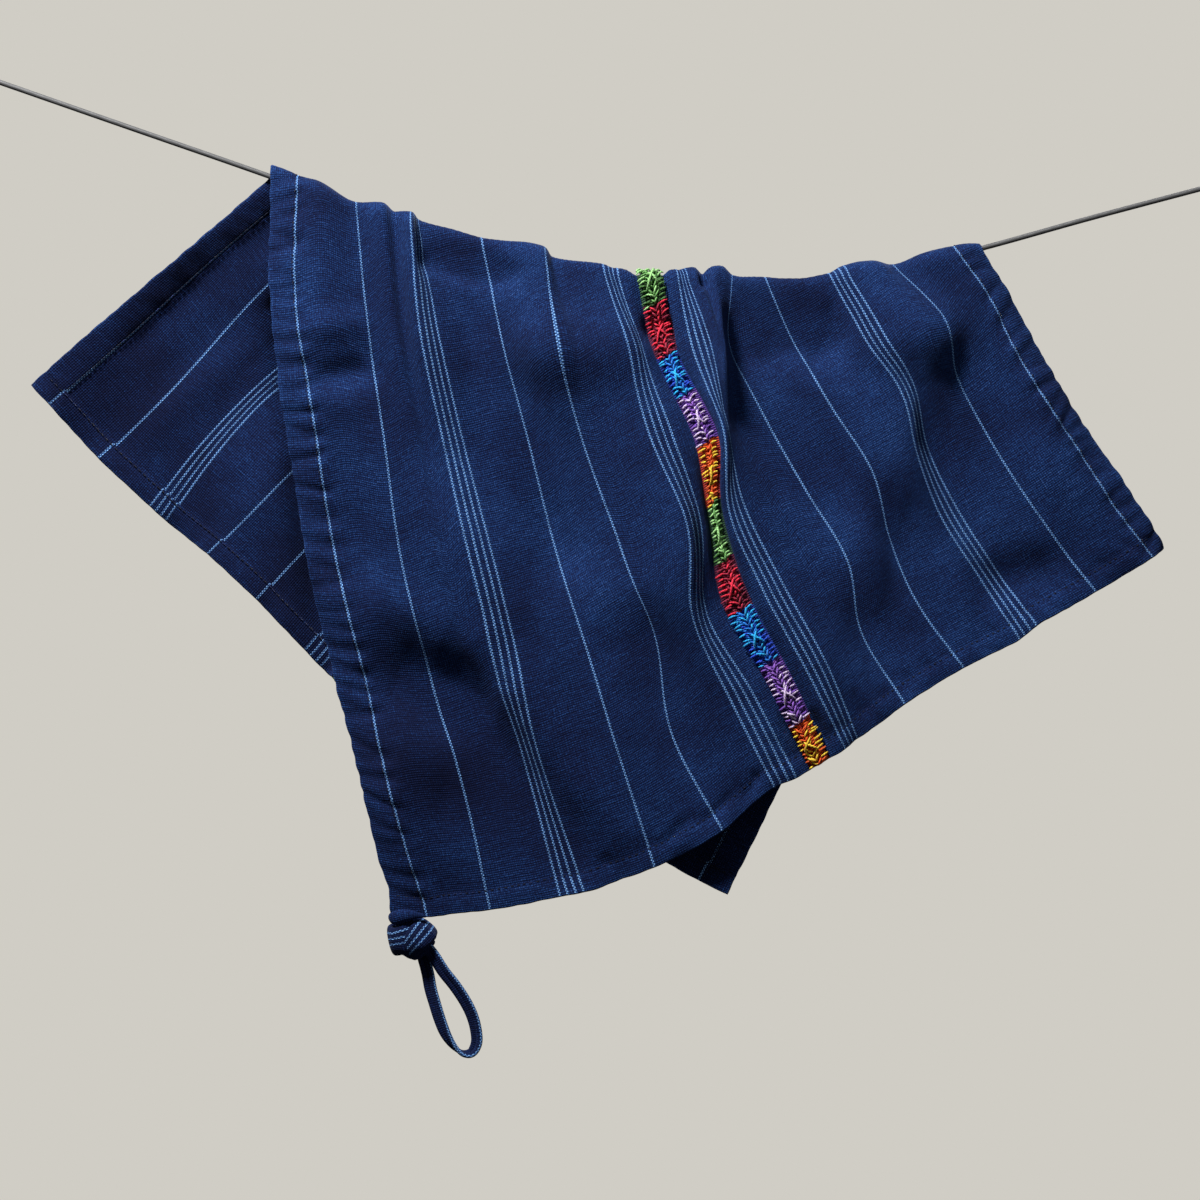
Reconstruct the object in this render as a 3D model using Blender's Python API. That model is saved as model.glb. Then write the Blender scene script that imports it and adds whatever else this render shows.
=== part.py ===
"""A handwoven tea towel over a taut line, in metres, +Z up, seen from -Y.

The towel is two narrow woven panels joined edge to edge by a band of embroidery. It hangs askew over
the line, the long part in front, and its folds run down from the pinch of the line and open out
towards the hems. A strap, knotted into a loop, hangs from the lower left corner.
The origin is the flat back of the left fitting, where the line is fixed.
"""

import math
from collections import namedtuple

import bmesh
import bpy
import numpy as np
from mathutils import Matrix, Vector

# The cloth as it was cut and sewn, laid flat
TOWEL_WIDTH = 0.500
TOWEL_LENGTH = 0.610
SEAM_CENTRE = 0.250
SEAM_WIDTH = 0.0112
SEAM_GAP = 0.0005
SIDE_HEM = 0.0165
END_HEM = 0.012
HEM_STEP = 0.0015
CLOTH = 0.0016
HEM_CLOTH = 0.0022
SEAM_EDGE = 0.0018
SEAM_CROWN = 0.0028

# How far the front reaches down from the line at the left edge, and what it loses across the towel
FRONT_DROP = 0.430
DROP_SLOPE = 0.45

# The line and its two end fittings
LINE_RADIUS = 0.0015
LINE_CLEARANCE = 0.0006
PLATE_RADIUS = 0.013
PLATE_THICKNESS = 0.003
BOSS_RADIUS = 0.0045
BOSS_LENGTH = 0.0135
SOCKET_RADIUS = 0.0018
SOCKET_DEPTH = 0.008
SOCKET_FLOOR_GAP = 0.00032
BORE_LENGTH = 3 * SOCKET_DEPTH
PLATE_BEVEL = 0.0006
BEVEL_FROM_DEGREES = 40
PLATE_SIDES = 32
BOSS_SIDES = 20
BORE_SIDES = 16

# The hanging strap and its knot
STRAP_WIDTH = 0.0068
STRAP_THICKNESS = 0.0026
KNOT_CORE = (0.0112, 0.0066, 0.0098)
KNOT_GIRTH = (0.0092, 0.0064)
KNOT_BAND_WIDTH = 0.0125
KNOT_BAND_THICKNESS = 0.0026
STRAP_SIDES = 10
KNOT_SEGMENTS = 18
KNOT_RINGS = 10

# The folds are placed on a front view of 1200 steps a side: one step in metres, and the step of the origin
STEP = 0.0005734
ORIGIN_STEP = (-30.0, 71.946)
RIGHT_FACE_STEP = 1230.0

# A fold line runs straight along the weave: its place in the flat cloth in millimetres, the steps of
# its crest on the line and of its end at the hem, then at seven even heights from the crest to the
# hem its step across and how far it stands in front of the line in millimetres
Fold = namedtuple("Fold", "flat crest hem across forward")
FRONT = (
    Fold(0.0, 162, 914, (270, 270, 284, 303, 330, 362, 388), (3.0, 8, 9, 9, 7, 8, 5)),
    Fold(16.5, 174, 918, (298, 297, 316, 335, 364, 392, 426), (7.0, 13, 15, 11, 12, 14, 10)),
    Fold(30.0, 180, 915, (318, 322, 340, 359, 387, 418, 449), (9.0, 14, 13, 9, 11, 13, 11)),
    Fold(55.0, 202, 910, (356, 368, 385, 402, 431, 466, 491), (3.0, 9, 13, 11, 5, 10, 10)),
    Fold(76.0, 202, 903, (384, 396, 417, 439, 469, 503, 530), (9.0, 13, 12, 15, 3, 7, 9)),
    Fold(81.0, 210, 901, (392, 403, 424, 447, 477, 511, 539), (3.5, 10, 11, 16, 4, 6, 8)),
    Fold(93.0, 211, 896, (411, 421, 444, 470, 500, 531, 562), (14, 18, 13, 18, 9, 4.5, 7)),
    Fold(105.5, 218, 892, (417, 438, 464, 493, 521, 548, 585), (4.0, 15, 12, 16, 12, 5, 5)),
    Fold(125.0, 226, 879, (448, 471, 497, 524, 556, 586, 620), (3.0, 6, 9, 11, 14, 10, 4)),
    Fold(144.5, 236, 866, (481, 503, 530, 556, 589, 621, 655), (3.0, 6, 5, 4, 13, 14, 9)),
    Fold(183.5, 246, 830, (544, 557, 583, 618, 655, 671, 722), (10, 17, 11, 13, 11, 11, 12)),
    Fold(192.0, 256, 820, (550, 573, 598, 634, 663, 684, 734), (3.5, 14, 13, 16, 12, 10, 10)),
    Fold(221.5, 263, 787, (602, 626, 650, 686, 690, 730, 774), (4.0, 12, 18, 23, 18, 12, 10)),
    Fold(234.0, 269, 778, (616, 640, 672, 698, 702, 752, 796), (3.0, 7, 14, 12, 12, 9, 6)),
    Fold(250.0, 271, 765, (650, 666, 706, 716, 737, 780, 818), (4.0, 4, 9, 6, 8, 8, 8)),
    Fold(266.0, 270, 749, (676, 694, 723, 729, 763, 806, 845), (4.0, 11, 22, 14, 13, 13, 9)),
    Fold(278.5, 267, 738, (684, 711, 725, 742, 780, 823, 857), (6.0, 20, 20, 16, 16, 17, 8)),
    Fold(288.0, 266, 729, (694, 718, 728, 757, 796, 832, 869), (10, 23, 17, 15, 15, 15, 9)),
    Fold(293.0, 274, 725, (702, 721, 731, 766, 805, 837, 875), (3.5, 24, 15, 14, 14, 14, 10)),
    Fold(298.0, 266, 721, (710, 723, 734, 774, 814, 842, 881), (9.0, 24, 12, 12, 14, 13, 10)),
    Fold(306.0, 264, 714, (721, 726, 744, 786, 827, 849, 890), (6.0, 15, 8, 10, 14, 11, 10)),
    Fold(316.5, 273, 704, (732, 730, 764, 804, 846, 860, 904), (3.5, 8, 7, 9, 14, 9, 10)),
    Fold(335.0, 275, 686, (745, 761, 796, 838, 869, 888, 932), (3.0, 4, 7, 10, 15, 8, 10)),
    Fold(355.5, 276, 668, (764, 794, 830, 871, 888, 916, 962), (3.0, 7, 12, 15, 8, 8, 12)),
    Fold(375.0, 278, 654, (795, 828, 865, 896, 914, 947, 990), (3.0, 4, 14, 16, 8, 9, 10)),
    Fold(394.5, 272, 640, (828, 862, 900, 915, 940, 979, 1018), (4.0, 12, 17, 14, 8, 9, 10)),
    Fold(407.0, 265, 626, (842, 877, 911, 925, 954, 992, 1035), (8.0, 17, 15, 8, 7, 9, 10)),
    Fold(430.0, 260, 606, (872, 915, 938, 960, 991, 1029, 1071), (10, 21, 11, 7, 8, 9, 9)),
    Fold(445.0, 265, 592, (891, 940, 954, 982, 1015, 1053, 1095), (4.0, 17, 8, 6, 8, 8, 9)),
    Fold(465.0, 253, 575, (921, 965, 985, 1015, 1049, 1084, 1124), (7.0, 9, 6, 8, 12, 9, 8)),
    Fold(483.5, 245, 558, (952, 988, 1013, 1044, 1079, 1112, 1151), (8.0, 9, 11, 12, 11, 9, 9)),
    Fold(500.0, 242, 547, (979, 1011, 1038, 1067, 1099, 1132, 1166), (3.0, 5, 5, 6, 6, 6, 5)),
)

# Behind the line: the place in the flat cloth in millimetres, the step of the hem across and down,
# how far the middle bows to the right and how far it sways right, then left, in steps, and how far the
# cloth stands behind the line in millimetres at a third and two thirds of the way down and at the hem
BackFold = namedtuple("BackFold", "flat across down bow sway third two_thirds hem")
BACK = (
    BackFold(0.0, 28, 385, -2, 0, 4, 4, 3),
    BackFold(16.5, 49, 407, -3, -2, 8, 7, 5),
    BackFold(55.0, 97, 459, -7, -6, 10, 13, 9),
    BackFold(93.0, 149, 507, -5, 6, 13, 13, 8),
    BackFold(105.5, 164, 521, -4, 6, 13, 12, 8),
    BackFold(144.5, 206, 555, 5, -6, 6, 6, 6),
    BackFold(183.5, 256, 601, 4, -2, 11, 9, 5),
    BackFold(222.0, 305, 653, 3, 0, 7, 8, 7),
    BackFold(250.0, 338, 686, 4, 0, 6, 6, 6),
    BackFold(290.0, 400, 716, 5, 0, 14, 11, 6),
    BackFold(340.0, 477, 760, 6, 0, 6, 7, 8),
    BackFold(390.0, 555, 801, 8, 0, 11, 9, 5),
    BackFold(440.0, 632, 844, 12, 0, 12, 10, 7),
    BackFold(483.5, 700, 882, 16, -2, 7, 7, 5),
    BackFold(500.0, 728, 895, 18, -2, 4, 4, 4),
)

# The line's own course in steps, across and down: straight outside the towel, sagging under it
LINE_COURSE = (
    (0, 82.4), (130, 127.7), (263, 174.0), (356, 207.5), (420, 228.0), (481, 244.5), (551, 262.0),
    (619, 276.0), (661, 281.5), (736, 285.0), (800, 284.0), (860, 276.5), (900, 268.5), (979, 249.0),
    (1090, 218.2), (1200, 189.0),
)
LINE_POINTS = 64

# The strap's loop below the knot, in steps, from one side of the knot round to the other
LOOP_COURSE = (
    (419, 941), (424, 957), (428, 972), (431, 988), (435, 1002), (440, 1018), (446, 1033), (454, 1045),
    (463, 1052), (472, 1051), (477, 1041), (476, 1027), (472, 1013), (465, 999), (455, 984), (444, 970),
    (433, 953), (422, 940),
)
LOOP_FORWARD = 0.006
LOOP_CROSSING = 0.0042
LOOP_POINTS = 34
KNOT_CENTRE_STEP = (410, 939)
STEM_STEPS = ((401, 916.0), (413, 917.0))
STEM_FOOT_STEPS = ((406, 940), (415, 940))
STEM_TOP_GAP = 0.0012
BAND_TILTS = (16, 42)
BAND_SHIFTS = ((-0.0022, -0.0002), (0.0034, 0.0006))
BAND_POINTS = 22

FRONT_STATIONS = 18
ARC_STATIONS = 5
BACK_STATIONS = 9
LEFT_COLUMNS = (0, 7, 15, 16.5, 24, 31, 39, 47, 55, 64, 72, 79, 86, 93, 99, 105.5, 114, 125, 135, 144.5,
                158, 171, 179, 184, 188, 194, 203, 212, 221.5, 228, 234, 239)
RIGHT_COLUMNS = (261, 266, 272, 278.5, 284, 288, 293, 298, 302, 306, 311, 316.5, 326, 335, 345, 355.5, 365,
                 375, 385, 394.5, 401, 407, 415, 423, 430, 437, 445, 455, 465, 474, 483.5, 485, 492, 500)
SEAM_COLUMNS = 7
SIDEWAYS_STEP = 0.0004
TAIL_PARTS = 4
LINE_BEVEL_CUTS = 2


def linear_colour(red, green, blue):
    """A picture's colour, 0 to 255 each, as the linear values that a material takes."""
    parts = [value / 255 for value in (red, green, blue)]
    return [v / 12.92 if v <= 0.04045 else ((v + 0.055) / 1.055) ** 2.4 for v in parts] + [1.0]


def material(name, colour, roughness, metallic=0.0):
    made = bpy.data.materials.new(name)
    made.use_nodes = True
    shader = made.node_tree.nodes["Principled BSDF"]
    shader.inputs["Base Color"].default_value = linear_colour(*colour)
    shader.inputs["Roughness"].default_value = roughness
    shader.inputs["Metallic"].default_value = metallic
    made.diffuse_color = linear_colour(*colour)
    return made


def add_object(name, mesh, finish=None):
    made = bpy.data.objects.new(name, mesh)
    bpy.context.scene.collection.objects.link(made)
    if finish:
        mesh.materials.append(finish)
    return made


def across(step):
    return (step - ORIGIN_STEP[0]) * STEP


def height(step):
    return (ORIGIN_STEP[1] - step) * STEP


def smooth_steps(values, count):
    """A Catmull-Rom curve through evenly spaced values, read at count even places."""
    values = np.asarray(values, float)
    last = len(values) - 1
    padded = np.concatenate([[2 * values[0] - values[1]], values, [2 * values[-1] - values[-2]]])
    place = np.linspace(0, last, count) if np.isscalar(count) else np.asarray(count) * last
    index = np.clip(place.astype(int), 0, last - 1)
    part = place - index
    before, start, end, after = (padded[index + offset] for offset in range(4))
    return 0.5 * (
        2 * start
        + (end - before) * part
        + (2 * before - 5 * start + 4 * end - after) * part**2
        + (3 * start - before - 3 * end + after) * part**3
    )


def shape_preserving(places, values, wanted):
    """A curve through values at rising places that never swings past them, so that each crest stays put."""
    places, values = np.asarray(places, float), np.asarray(values, float)
    width = np.diff(places)
    rise = np.diff(values, axis=0) / width.reshape((-1,) + (1,) * (values.ndim - 1))
    slope = np.zeros_like(values)
    slope[0], slope[-1] = rise[0], rise[-1]
    before, after = rise[:-1], rise[1:]
    same = before * after > 0
    weight_a = (2 * width[1:] + width[:-1]).reshape((-1,) + (1,) * (values.ndim - 1))
    weight_b = (width[1:] + 2 * width[:-1]).reshape(weight_a.shape)
    safe_before = np.where(same, before, 1.0)
    safe_after = np.where(same, after, 1.0)
    mean = (weight_a + weight_b) / (weight_a / safe_before + weight_b / safe_after)
    slope[1:-1] = np.where(same, mean, 0.0)
    wanted = np.asarray(wanted, float)
    index = np.clip(np.searchsorted(places, wanted, side="right") - 1, 0, len(places) - 2)
    shape = (-1,) + (1,) * (values.ndim - 1)
    span = width[index].reshape(shape)
    part = ((wanted - places[index]).reshape(shape)) / span
    return (
        (1 + 2 * part) * (1 - part) ** 2 * values[index]
        + part * (1 - part) ** 2 * span * slope[index]
        + part**2 * (3 - 2 * part) * values[index + 1]
        + part**2 * (part - 1) * span * slope[index + 1]
    )


def line_height(x):
    course = np.array(LINE_COURSE, float)
    return shape_preserving(across(course[:, 0]), height(course[:, 1]), np.atleast_1d(x))


def front_drop(flat):
    """The length of cloth in front of the line at a place across the flat towel."""
    return FRONT_DROP - DROP_SLOPE * flat


def fold_lines():
    """Each fold line as points from the front hem's edge, over the line, to the back hem's edge."""
    flats = [fold.flat / 1000 for fold in FRONT]
    back_flats = [fold.flat / 1000 for fold in BACK]
    back_values = [fold[1:] for fold in BACK]
    lines = []
    for fold, flat in zip(FRONT, flats):
        crest_x = across(fold.across[0])
        crest_z = height(fold.crest) - CLOTH / 2
        axis_z = line_height(crest_x)[0]
        least = LINE_RADIUS + LINE_CLEARANCE + HEM_CLOTH / 2
        rise = max(crest_z - axis_z, least)
        crest_z = axis_z + rise
        hem_z = height(fold.hem)
        reach = np.array(fold.forward) / 1000
        reach[0] = max(reach[0], least)

        drop = front_drop(flat)
        even = np.linspace(0, 1 - END_HEM / drop, FRONT_STATIONS)
        down = np.concatenate([even, [1 - (END_HEM - HEM_STEP) / drop, 1]])[::-1]
        first = rise / (crest_z - hem_z)
        heights = first + (1 - first) * down
        x = across(smooth_steps(fold.across, heights))
        y = -smooth_steps(reach, down)
        z = crest_z + (hem_z - crest_z) * heights
        front = np.stack([x, y, z], axis=1)

        values = shape_preserving(back_flats, back_values, [flat])[0]
        hem_across, hem_down, bow, sway, third, two_thirds, hem = values
        back_reach = np.array([reach[0] * 1000, third, two_thirds, hem]) / 1000
        back_top = np.array([crest_x, back_reach[0], axis_z])
        back_end = np.array([across(hem_across), back_reach[-1], height(hem_down)])
        drop = TOWEL_LENGTH - drop
        even = np.linspace(0, 1 - END_HEM / drop, BACK_STATIONS)
        down = np.concatenate([even, [1 - (END_HEM - HEM_STEP) / drop, 1]])
        back = back_top + (back_end - back_top) * down[:, None]
        back[:, 0] += STEP * (bow * np.sin(math.pi * down) + sway * np.sin(2 * math.pi * down))
        back[:, 1] = smooth_steps(back_reach, down)

        turn = np.linspace(0, math.pi, ARC_STATIONS + 2)[1:-1]
        start_x = front[-1, 0]
        share = turn / math.pi
        arc_x = np.where(share < 0.5, start_x + (crest_x - start_x) * 2 * share, crest_x)
        arc = np.stack([arc_x, -reach[0] * np.cos(turn), axis_z + rise * np.sin(turn)], axis=1)
        lines.append(np.concatenate([front, arc, back]))
    return np.array(flats), np.array(lines)


def cloth_grid(columns):
    """Points and normals of the cloth's middle on a grid, one row for each column of the flat cloth."""
    flats, lines = fold_lines()
    columns = np.asarray(columns, float)
    points = shape_preserving(flats, lines, columns)
    right = shape_preserving(flats, lines, np.minimum(columns + SIDEWAYS_STEP, TOWEL_WIDTH))
    left = shape_preserving(flats, lines, np.maximum(columns - SIDEWAYS_STEP, 0))
    sideways = right - left
    along = np.gradient(points, axis=1)
    normals = np.cross(sideways, along)
    return points, normals / np.linalg.norm(normals, axis=2, keepdims=True)


def thickness_of(columns, stations):
    """The cloth's thickness at each place of a panel's grid: hems are turned, so they are thicker."""
    columns = np.asarray(columns)[:, None]
    side = (columns < SIDE_HEM - HEM_STEP / 2) | (columns > TOWEL_WIDTH - SIDE_HEM + HEM_STEP / 2)
    ends = np.zeros((1, stations), bool)
    ends[0, [0, 1, -2, -1]] = True
    return np.where(side | ends, HEM_CLOTH, CLOTH)


def sheet_mesh(name, points, normals, thickness):
    """A closed sheet of the given thickness round a grid of its middle."""
    half = thickness[:, :, None] / 2
    outer, inner = points + normals * half, points - normals * half
    wide, long = points.shape[:2]
    count = wide * long
    vertices = np.concatenate([outer.reshape(-1, 3), inner.reshape(-1, 3)])
    faces = []
    for i in range(wide - 1):
        for j in range(long - 1):
            a, b = i * long + j, (i + 1) * long + j
            faces.append((a, b, b + 1, a + 1))
            faces.append((count + a, count + a + 1, count + b + 1, count + b))
    rim = [(i * long, (i + 1) * long) for i in range(wide - 1)]
    rim += [((wide - 1) * long + j, (wide - 1) * long + j + 1) for j in range(long - 1)]
    rim += [(i * long + long - 1, (i - 1) * long + long - 1) for i in range(wide - 1, 0, -1)]
    rim += [(j, j - 1) for j in range(long - 1, 0, -1)]
    faces += [(b, a, a + count, b + count) for a, b in rim]
    mesh = bpy.data.meshes.new(name)
    mesh.from_pydata(vertices.tolist(), [], faces)
    shell = bmesh.new()
    shell.from_mesh(mesh)
    bmesh.ops.recalc_face_normals(shell, faces=shell.faces)
    shell.to_mesh(mesh)
    shell.free()
    mesh.shade_smooth()
    return mesh


def add_panel(name, columns, finish):
    columns = np.asarray(columns) / 1000
    points, normals = cloth_grid(columns)
    mesh = sheet_mesh(name, points, normals, thickness_of(columns, points.shape[1]))
    return add_object(name, mesh, finish)


def add_seam(name, finish):
    """The embroidered band fills the gap between the panels and stands a little proud of both."""
    half = SEAM_WIDTH / 2
    columns = np.linspace(SEAM_CENTRE - half, SEAM_CENTRE + half, SEAM_COLUMNS)
    points, normals = cloth_grid(columns)
    rounding = np.sqrt(np.clip(1 - ((columns - SEAM_CENTRE) / half) ** 2, 0, 1))
    thickness = SEAM_EDGE + (SEAM_CROWN - SEAM_EDGE) * rounding
    thickness = np.repeat(thickness[:, None], points.shape[1], axis=1)
    return add_object(name, sheet_mesh(name, points, normals, thickness), finish)


def strap_mesh(name, path, width, thickness, outward, closed):
    """A flat strap with rounded edges swept along a path, its face turned to the outward direction."""
    path = [Vector(point) for point in path]
    total = len(path)
    rings = []
    for index, point in enumerate(path):
        ahead = path[(index + 1) % total] if closed else path[min(index + 1, total - 1)]
        behind = path[index - 1] if closed else path[max(index - 1, 0)]
        along = (ahead - behind).normalized()
        face = outward(index)
        side = along.cross(face).normalized()
        face = side.cross(along).normalized()
        ring = []
        for corner in range(STRAP_SIDES):
            angle = 2 * math.pi * (corner + 0.5) / STRAP_SIDES
            ring.append(point + side * width / 2 * math.cos(angle) + face * thickness / 2 * math.sin(angle))
        rings.append(ring)
    shell = bmesh.new()
    loops = [[shell.verts.new(corner) for corner in ring] for ring in rings]
    pairs = list(zip(loops, loops[1:] + loops[:1])) if closed else list(zip(loops, loops[1:]))
    for first, second in pairs:
        for corner in range(STRAP_SIDES):
            after = (corner + 1) % STRAP_SIDES
            shell.faces.new((first[corner], first[after], second[after], second[corner]))
    if not closed:
        shell.faces.new(loops[0])
        shell.faces.new(loops[-1])
    bmesh.ops.recalc_face_normals(shell, faces=shell.faces)
    mesh = bpy.data.meshes.new(name)
    shell.to_mesh(mesh)
    shell.free()
    mesh.shade_smooth()
    return mesh


def hide_helper(helper):
    helper.hide_render = True
    helper.display_type = "WIRE"


def join_by_union(base, helpers):
    for helper in helpers:
        hide_helper(helper)
        union = base.modifiers.new("join " + helper.name, "BOOLEAN")
        union.operation = "UNION"
        union.object = helper


def loop_points(count):
    """The loop's middle: one limb enters the knot in front of the other."""
    course = np.array(LOOP_COURSE, float)
    x = across(smooth_steps(course[:, 0], count))
    z = height(smooth_steps(course[:, 1], count))
    forward = LOOP_FORWARD + LOOP_CROSSING * np.linspace(-0.5, 0.5, count)
    return [Vector((a, -b, c)) for a, b, c in zip(x, forward, z)]


def add_hanging_loop(finish):
    """One strap: two tails out of the hem, the knot's wraps round them, and the loop below it."""
    toward = Vector((0, -1, 0))
    centre = Vector((across(KNOT_CENTRE_STEP[0]), -LOOP_FORWARD, height(KNOT_CENTRE_STEP[1])))
    path = loop_points(LOOP_POINTS)
    loop = strap_mesh("loop", path, STRAP_WIDTH, STRAP_THICKNESS, lambda index: toward, False)
    base = add_object("hanging_loop", loop, finish)

    ball = bmesh.new()
    bmesh.ops.create_uvsphere(ball, u_segments=KNOT_SEGMENTS, v_segments=KNOT_RINGS, radius=1)
    bmesh.ops.scale(ball, vec=KNOT_CORE, verts=ball.verts)
    bmesh.ops.translate(ball, vec=centre, verts=ball.verts)
    core = bpy.data.meshes.new("knot core")
    ball.to_mesh(core)
    ball.free()
    helpers = [add_object("knot core", core)]

    for number, (tilt, shift) in enumerate(zip(BAND_TILTS, BAND_SHIFTS)):
        turned = Matrix.Rotation(-math.radians(tilt), 4, "Y")
        middle = centre + Vector((shift[0], 0, shift[1]))
        wrap = []
        for index in range(BAND_POINTS):
            angle = 2 * math.pi * index / BAND_POINTS
            around = Vector((KNOT_GIRTH[0] * math.cos(angle), KNOT_GIRTH[1] * math.sin(angle), 0))
            wrap.append(middle + turned @ around)
        facing = lambda index, wrap=wrap, middle=middle: (wrap[index] - middle).normalized()
        band = strap_mesh("wrap", wrap, KNOT_BAND_WIDTH, KNOT_BAND_THICKNESS, facing, True)
        helpers.append(add_object(f"knot wrap {number + 1}", band))

    for number, (top, foot) in enumerate(zip(STEM_STEPS, STEM_FOOT_STEPS)):
        start = Vector((across(top[0]), -LOOP_FORWARD, height(top[1]) - STEM_TOP_GAP))
        end = Vector((across(foot[0]), -LOOP_FORWARD, height(foot[1])))
        path = [start.lerp(end, share / TAIL_PARTS) for share in range(TAIL_PARTS + 1)]
        tail = strap_mesh("tail", path, STRAP_WIDTH, STRAP_THICKNESS, lambda index: toward, False)
        helpers.append(add_object(f"strap tail {number + 1}", tail))
    join_by_union(base, helpers)
    return base


def line_route():
    """The line's route from socket floor to socket floor, straight outside the towel and smooth under it."""
    course = np.array(LINE_COURSE, float)
    left = across(ORIGIN_STEP[0]) + PLATE_THICKNESS + BOSS_LENGTH - SOCKET_DEPTH + SOCKET_FLOOR_GAP
    right = across(RIGHT_FACE_STEP) - PLATE_THICKNESS - BOSS_LENGTH + SOCKET_DEPTH - SOCKET_FLOOR_GAP
    xs, zs = across(course[:, 0]), height(course[:, 1])
    left_slope = (zs[1] - zs[0]) / (xs[1] - xs[0])
    right_slope = (zs[-1] - zs[-2]) / (xs[-1] - xs[-2])
    xs = np.concatenate([[left], xs, [right]])
    zs = np.concatenate([[zs[0] + (left - xs[1]) * left_slope], zs, [zs[-1] + (right - xs[-2]) * right_slope]])
    places = np.linspace(left, right, LINE_POINTS)
    return places, shape_preserving(xs, zs, places), left_slope, right_slope


def add_line(finish):
    places, heights, _, _ = line_route()
    curve = bpy.data.curves.new("line", "CURVE")
    curve.dimensions = "3D"
    spline = curve.splines.new("POLY")
    spline.points.add(len(places) - 1)
    for point, x, z in zip(spline.points, places, heights):
        point.co = (x, 0, z, 1)
    curve.bevel_depth = LINE_RADIUS
    curve.bevel_resolution = LINE_BEVEL_CUTS
    curve.use_fill_caps = True
    curve.materials.append(finish)
    made = bpy.data.objects.new("line", curve)
    bpy.context.scene.collection.objects.link(made)
    return made


def cylinder_mesh(name, radius, length, sides):
    """A cylinder along +Z from its foot at the origin."""
    shell = bmesh.new()
    bmesh.ops.create_cone(shell, cap_ends=True, segments=sides, radius1=radius, radius2=radius, depth=length)
    bmesh.ops.translate(shell, vec=(0, 0, length / 2), verts=shell.verts)
    mesh = bpy.data.meshes.new(name)
    shell.to_mesh(mesh)
    shell.free()
    return mesh


def add_fitting(name, face_x, inward, slope, finish):
    """A round plate with a boss along the line's own direction, bored for the line's end."""
    direction = Vector((inward, 0, inward * slope)).normalized()
    start_x, start_z, _, _ = line_route()
    end = 0 if inward > 0 else -1
    floor = Vector((start_x[end], 0, start_z[end])) - direction * SOCKET_FLOOR_GAP
    face = Vector((face_x, 0, floor.z - (floor.x - face_x) * slope))
    plate = cylinder_mesh(name, PLATE_RADIUS, PLATE_THICKNESS, PLATE_SIDES)
    made = add_object(name, plate, finish)
    made.location = face
    made.rotation_euler = (0, math.radians(90) * inward, 0)
    bevel = made.modifiers.new("rim", "BEVEL")
    bevel.width = PLATE_BEVEL
    bevel.limit_method = "ANGLE"
    bevel.angle_limit = math.radians(BEVEL_FROM_DEGREES)

    along = direction.to_track_quat("Z", "Y")
    boss = add_object(name + " boss", cylinder_mesh("boss", BOSS_RADIUS, BOSS_LENGTH, BOSS_SIDES))
    boss.location = face + direction * PLATE_THICKNESS / 2
    boss.rotation_euler = along.to_euler()
    join_by_union(made, [boss])
    bore = add_object(name + " bore", cylinder_mesh("bore", SOCKET_RADIUS, BORE_LENGTH, BORE_SIDES))
    bore.location = floor
    bore.rotation_euler = along.to_euler()
    hide_helper(bore)
    cut = made.modifiers.new("bore", "BOOLEAN")
    cut.operation = "DIFFERENCE"
    cut.object = bore
    return made


def build():
    for old in list(bpy.data.objects):
        bpy.data.objects.remove(old)
    indigo = material("indigo cotton", (26, 38, 84), 0.85)
    yarn = material("embroidery yarn", (190, 70, 90), 0.8)
    strap = material("woven strap", (34, 48, 98), 0.85)
    cord = material("grey cord", (92, 92, 92), 0.6)
    metal = material("painted metal", (120, 122, 124), 0.4, 0.3)

    half_seam = SEAM_WIDTH / 2 + SEAM_GAP
    add_panel("left_panel", LEFT_COLUMNS + ((SEAM_CENTRE - half_seam) * 1000,), indigo)
    add_panel("right_panel", ((SEAM_CENTRE + half_seam) * 1000,) + RIGHT_COLUMNS, indigo)
    add_seam("seam_embroidery", yarn)
    add_hanging_loop(strap)
    add_line(cord)
    _, _, left_slope, right_slope = line_route()
    add_fitting("left_anchor", across(ORIGIN_STEP[0]), 1, left_slope, metal)
    add_fitting("right_anchor", across(RIGHT_FACE_STEP), -1, right_slope, metal)


build()
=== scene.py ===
"""The looks of a handwoven tea towel hung over a taut line, in metres, +Z up, seen from -Y.

Two panels of indigo cotton are joined down the middle by a band of bright embroidery, a knotted strap
hangs from one corner, and the whole towel lies askew over a grey line held by two painted fittings.
"""

import math
from collections import namedtuple

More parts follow.
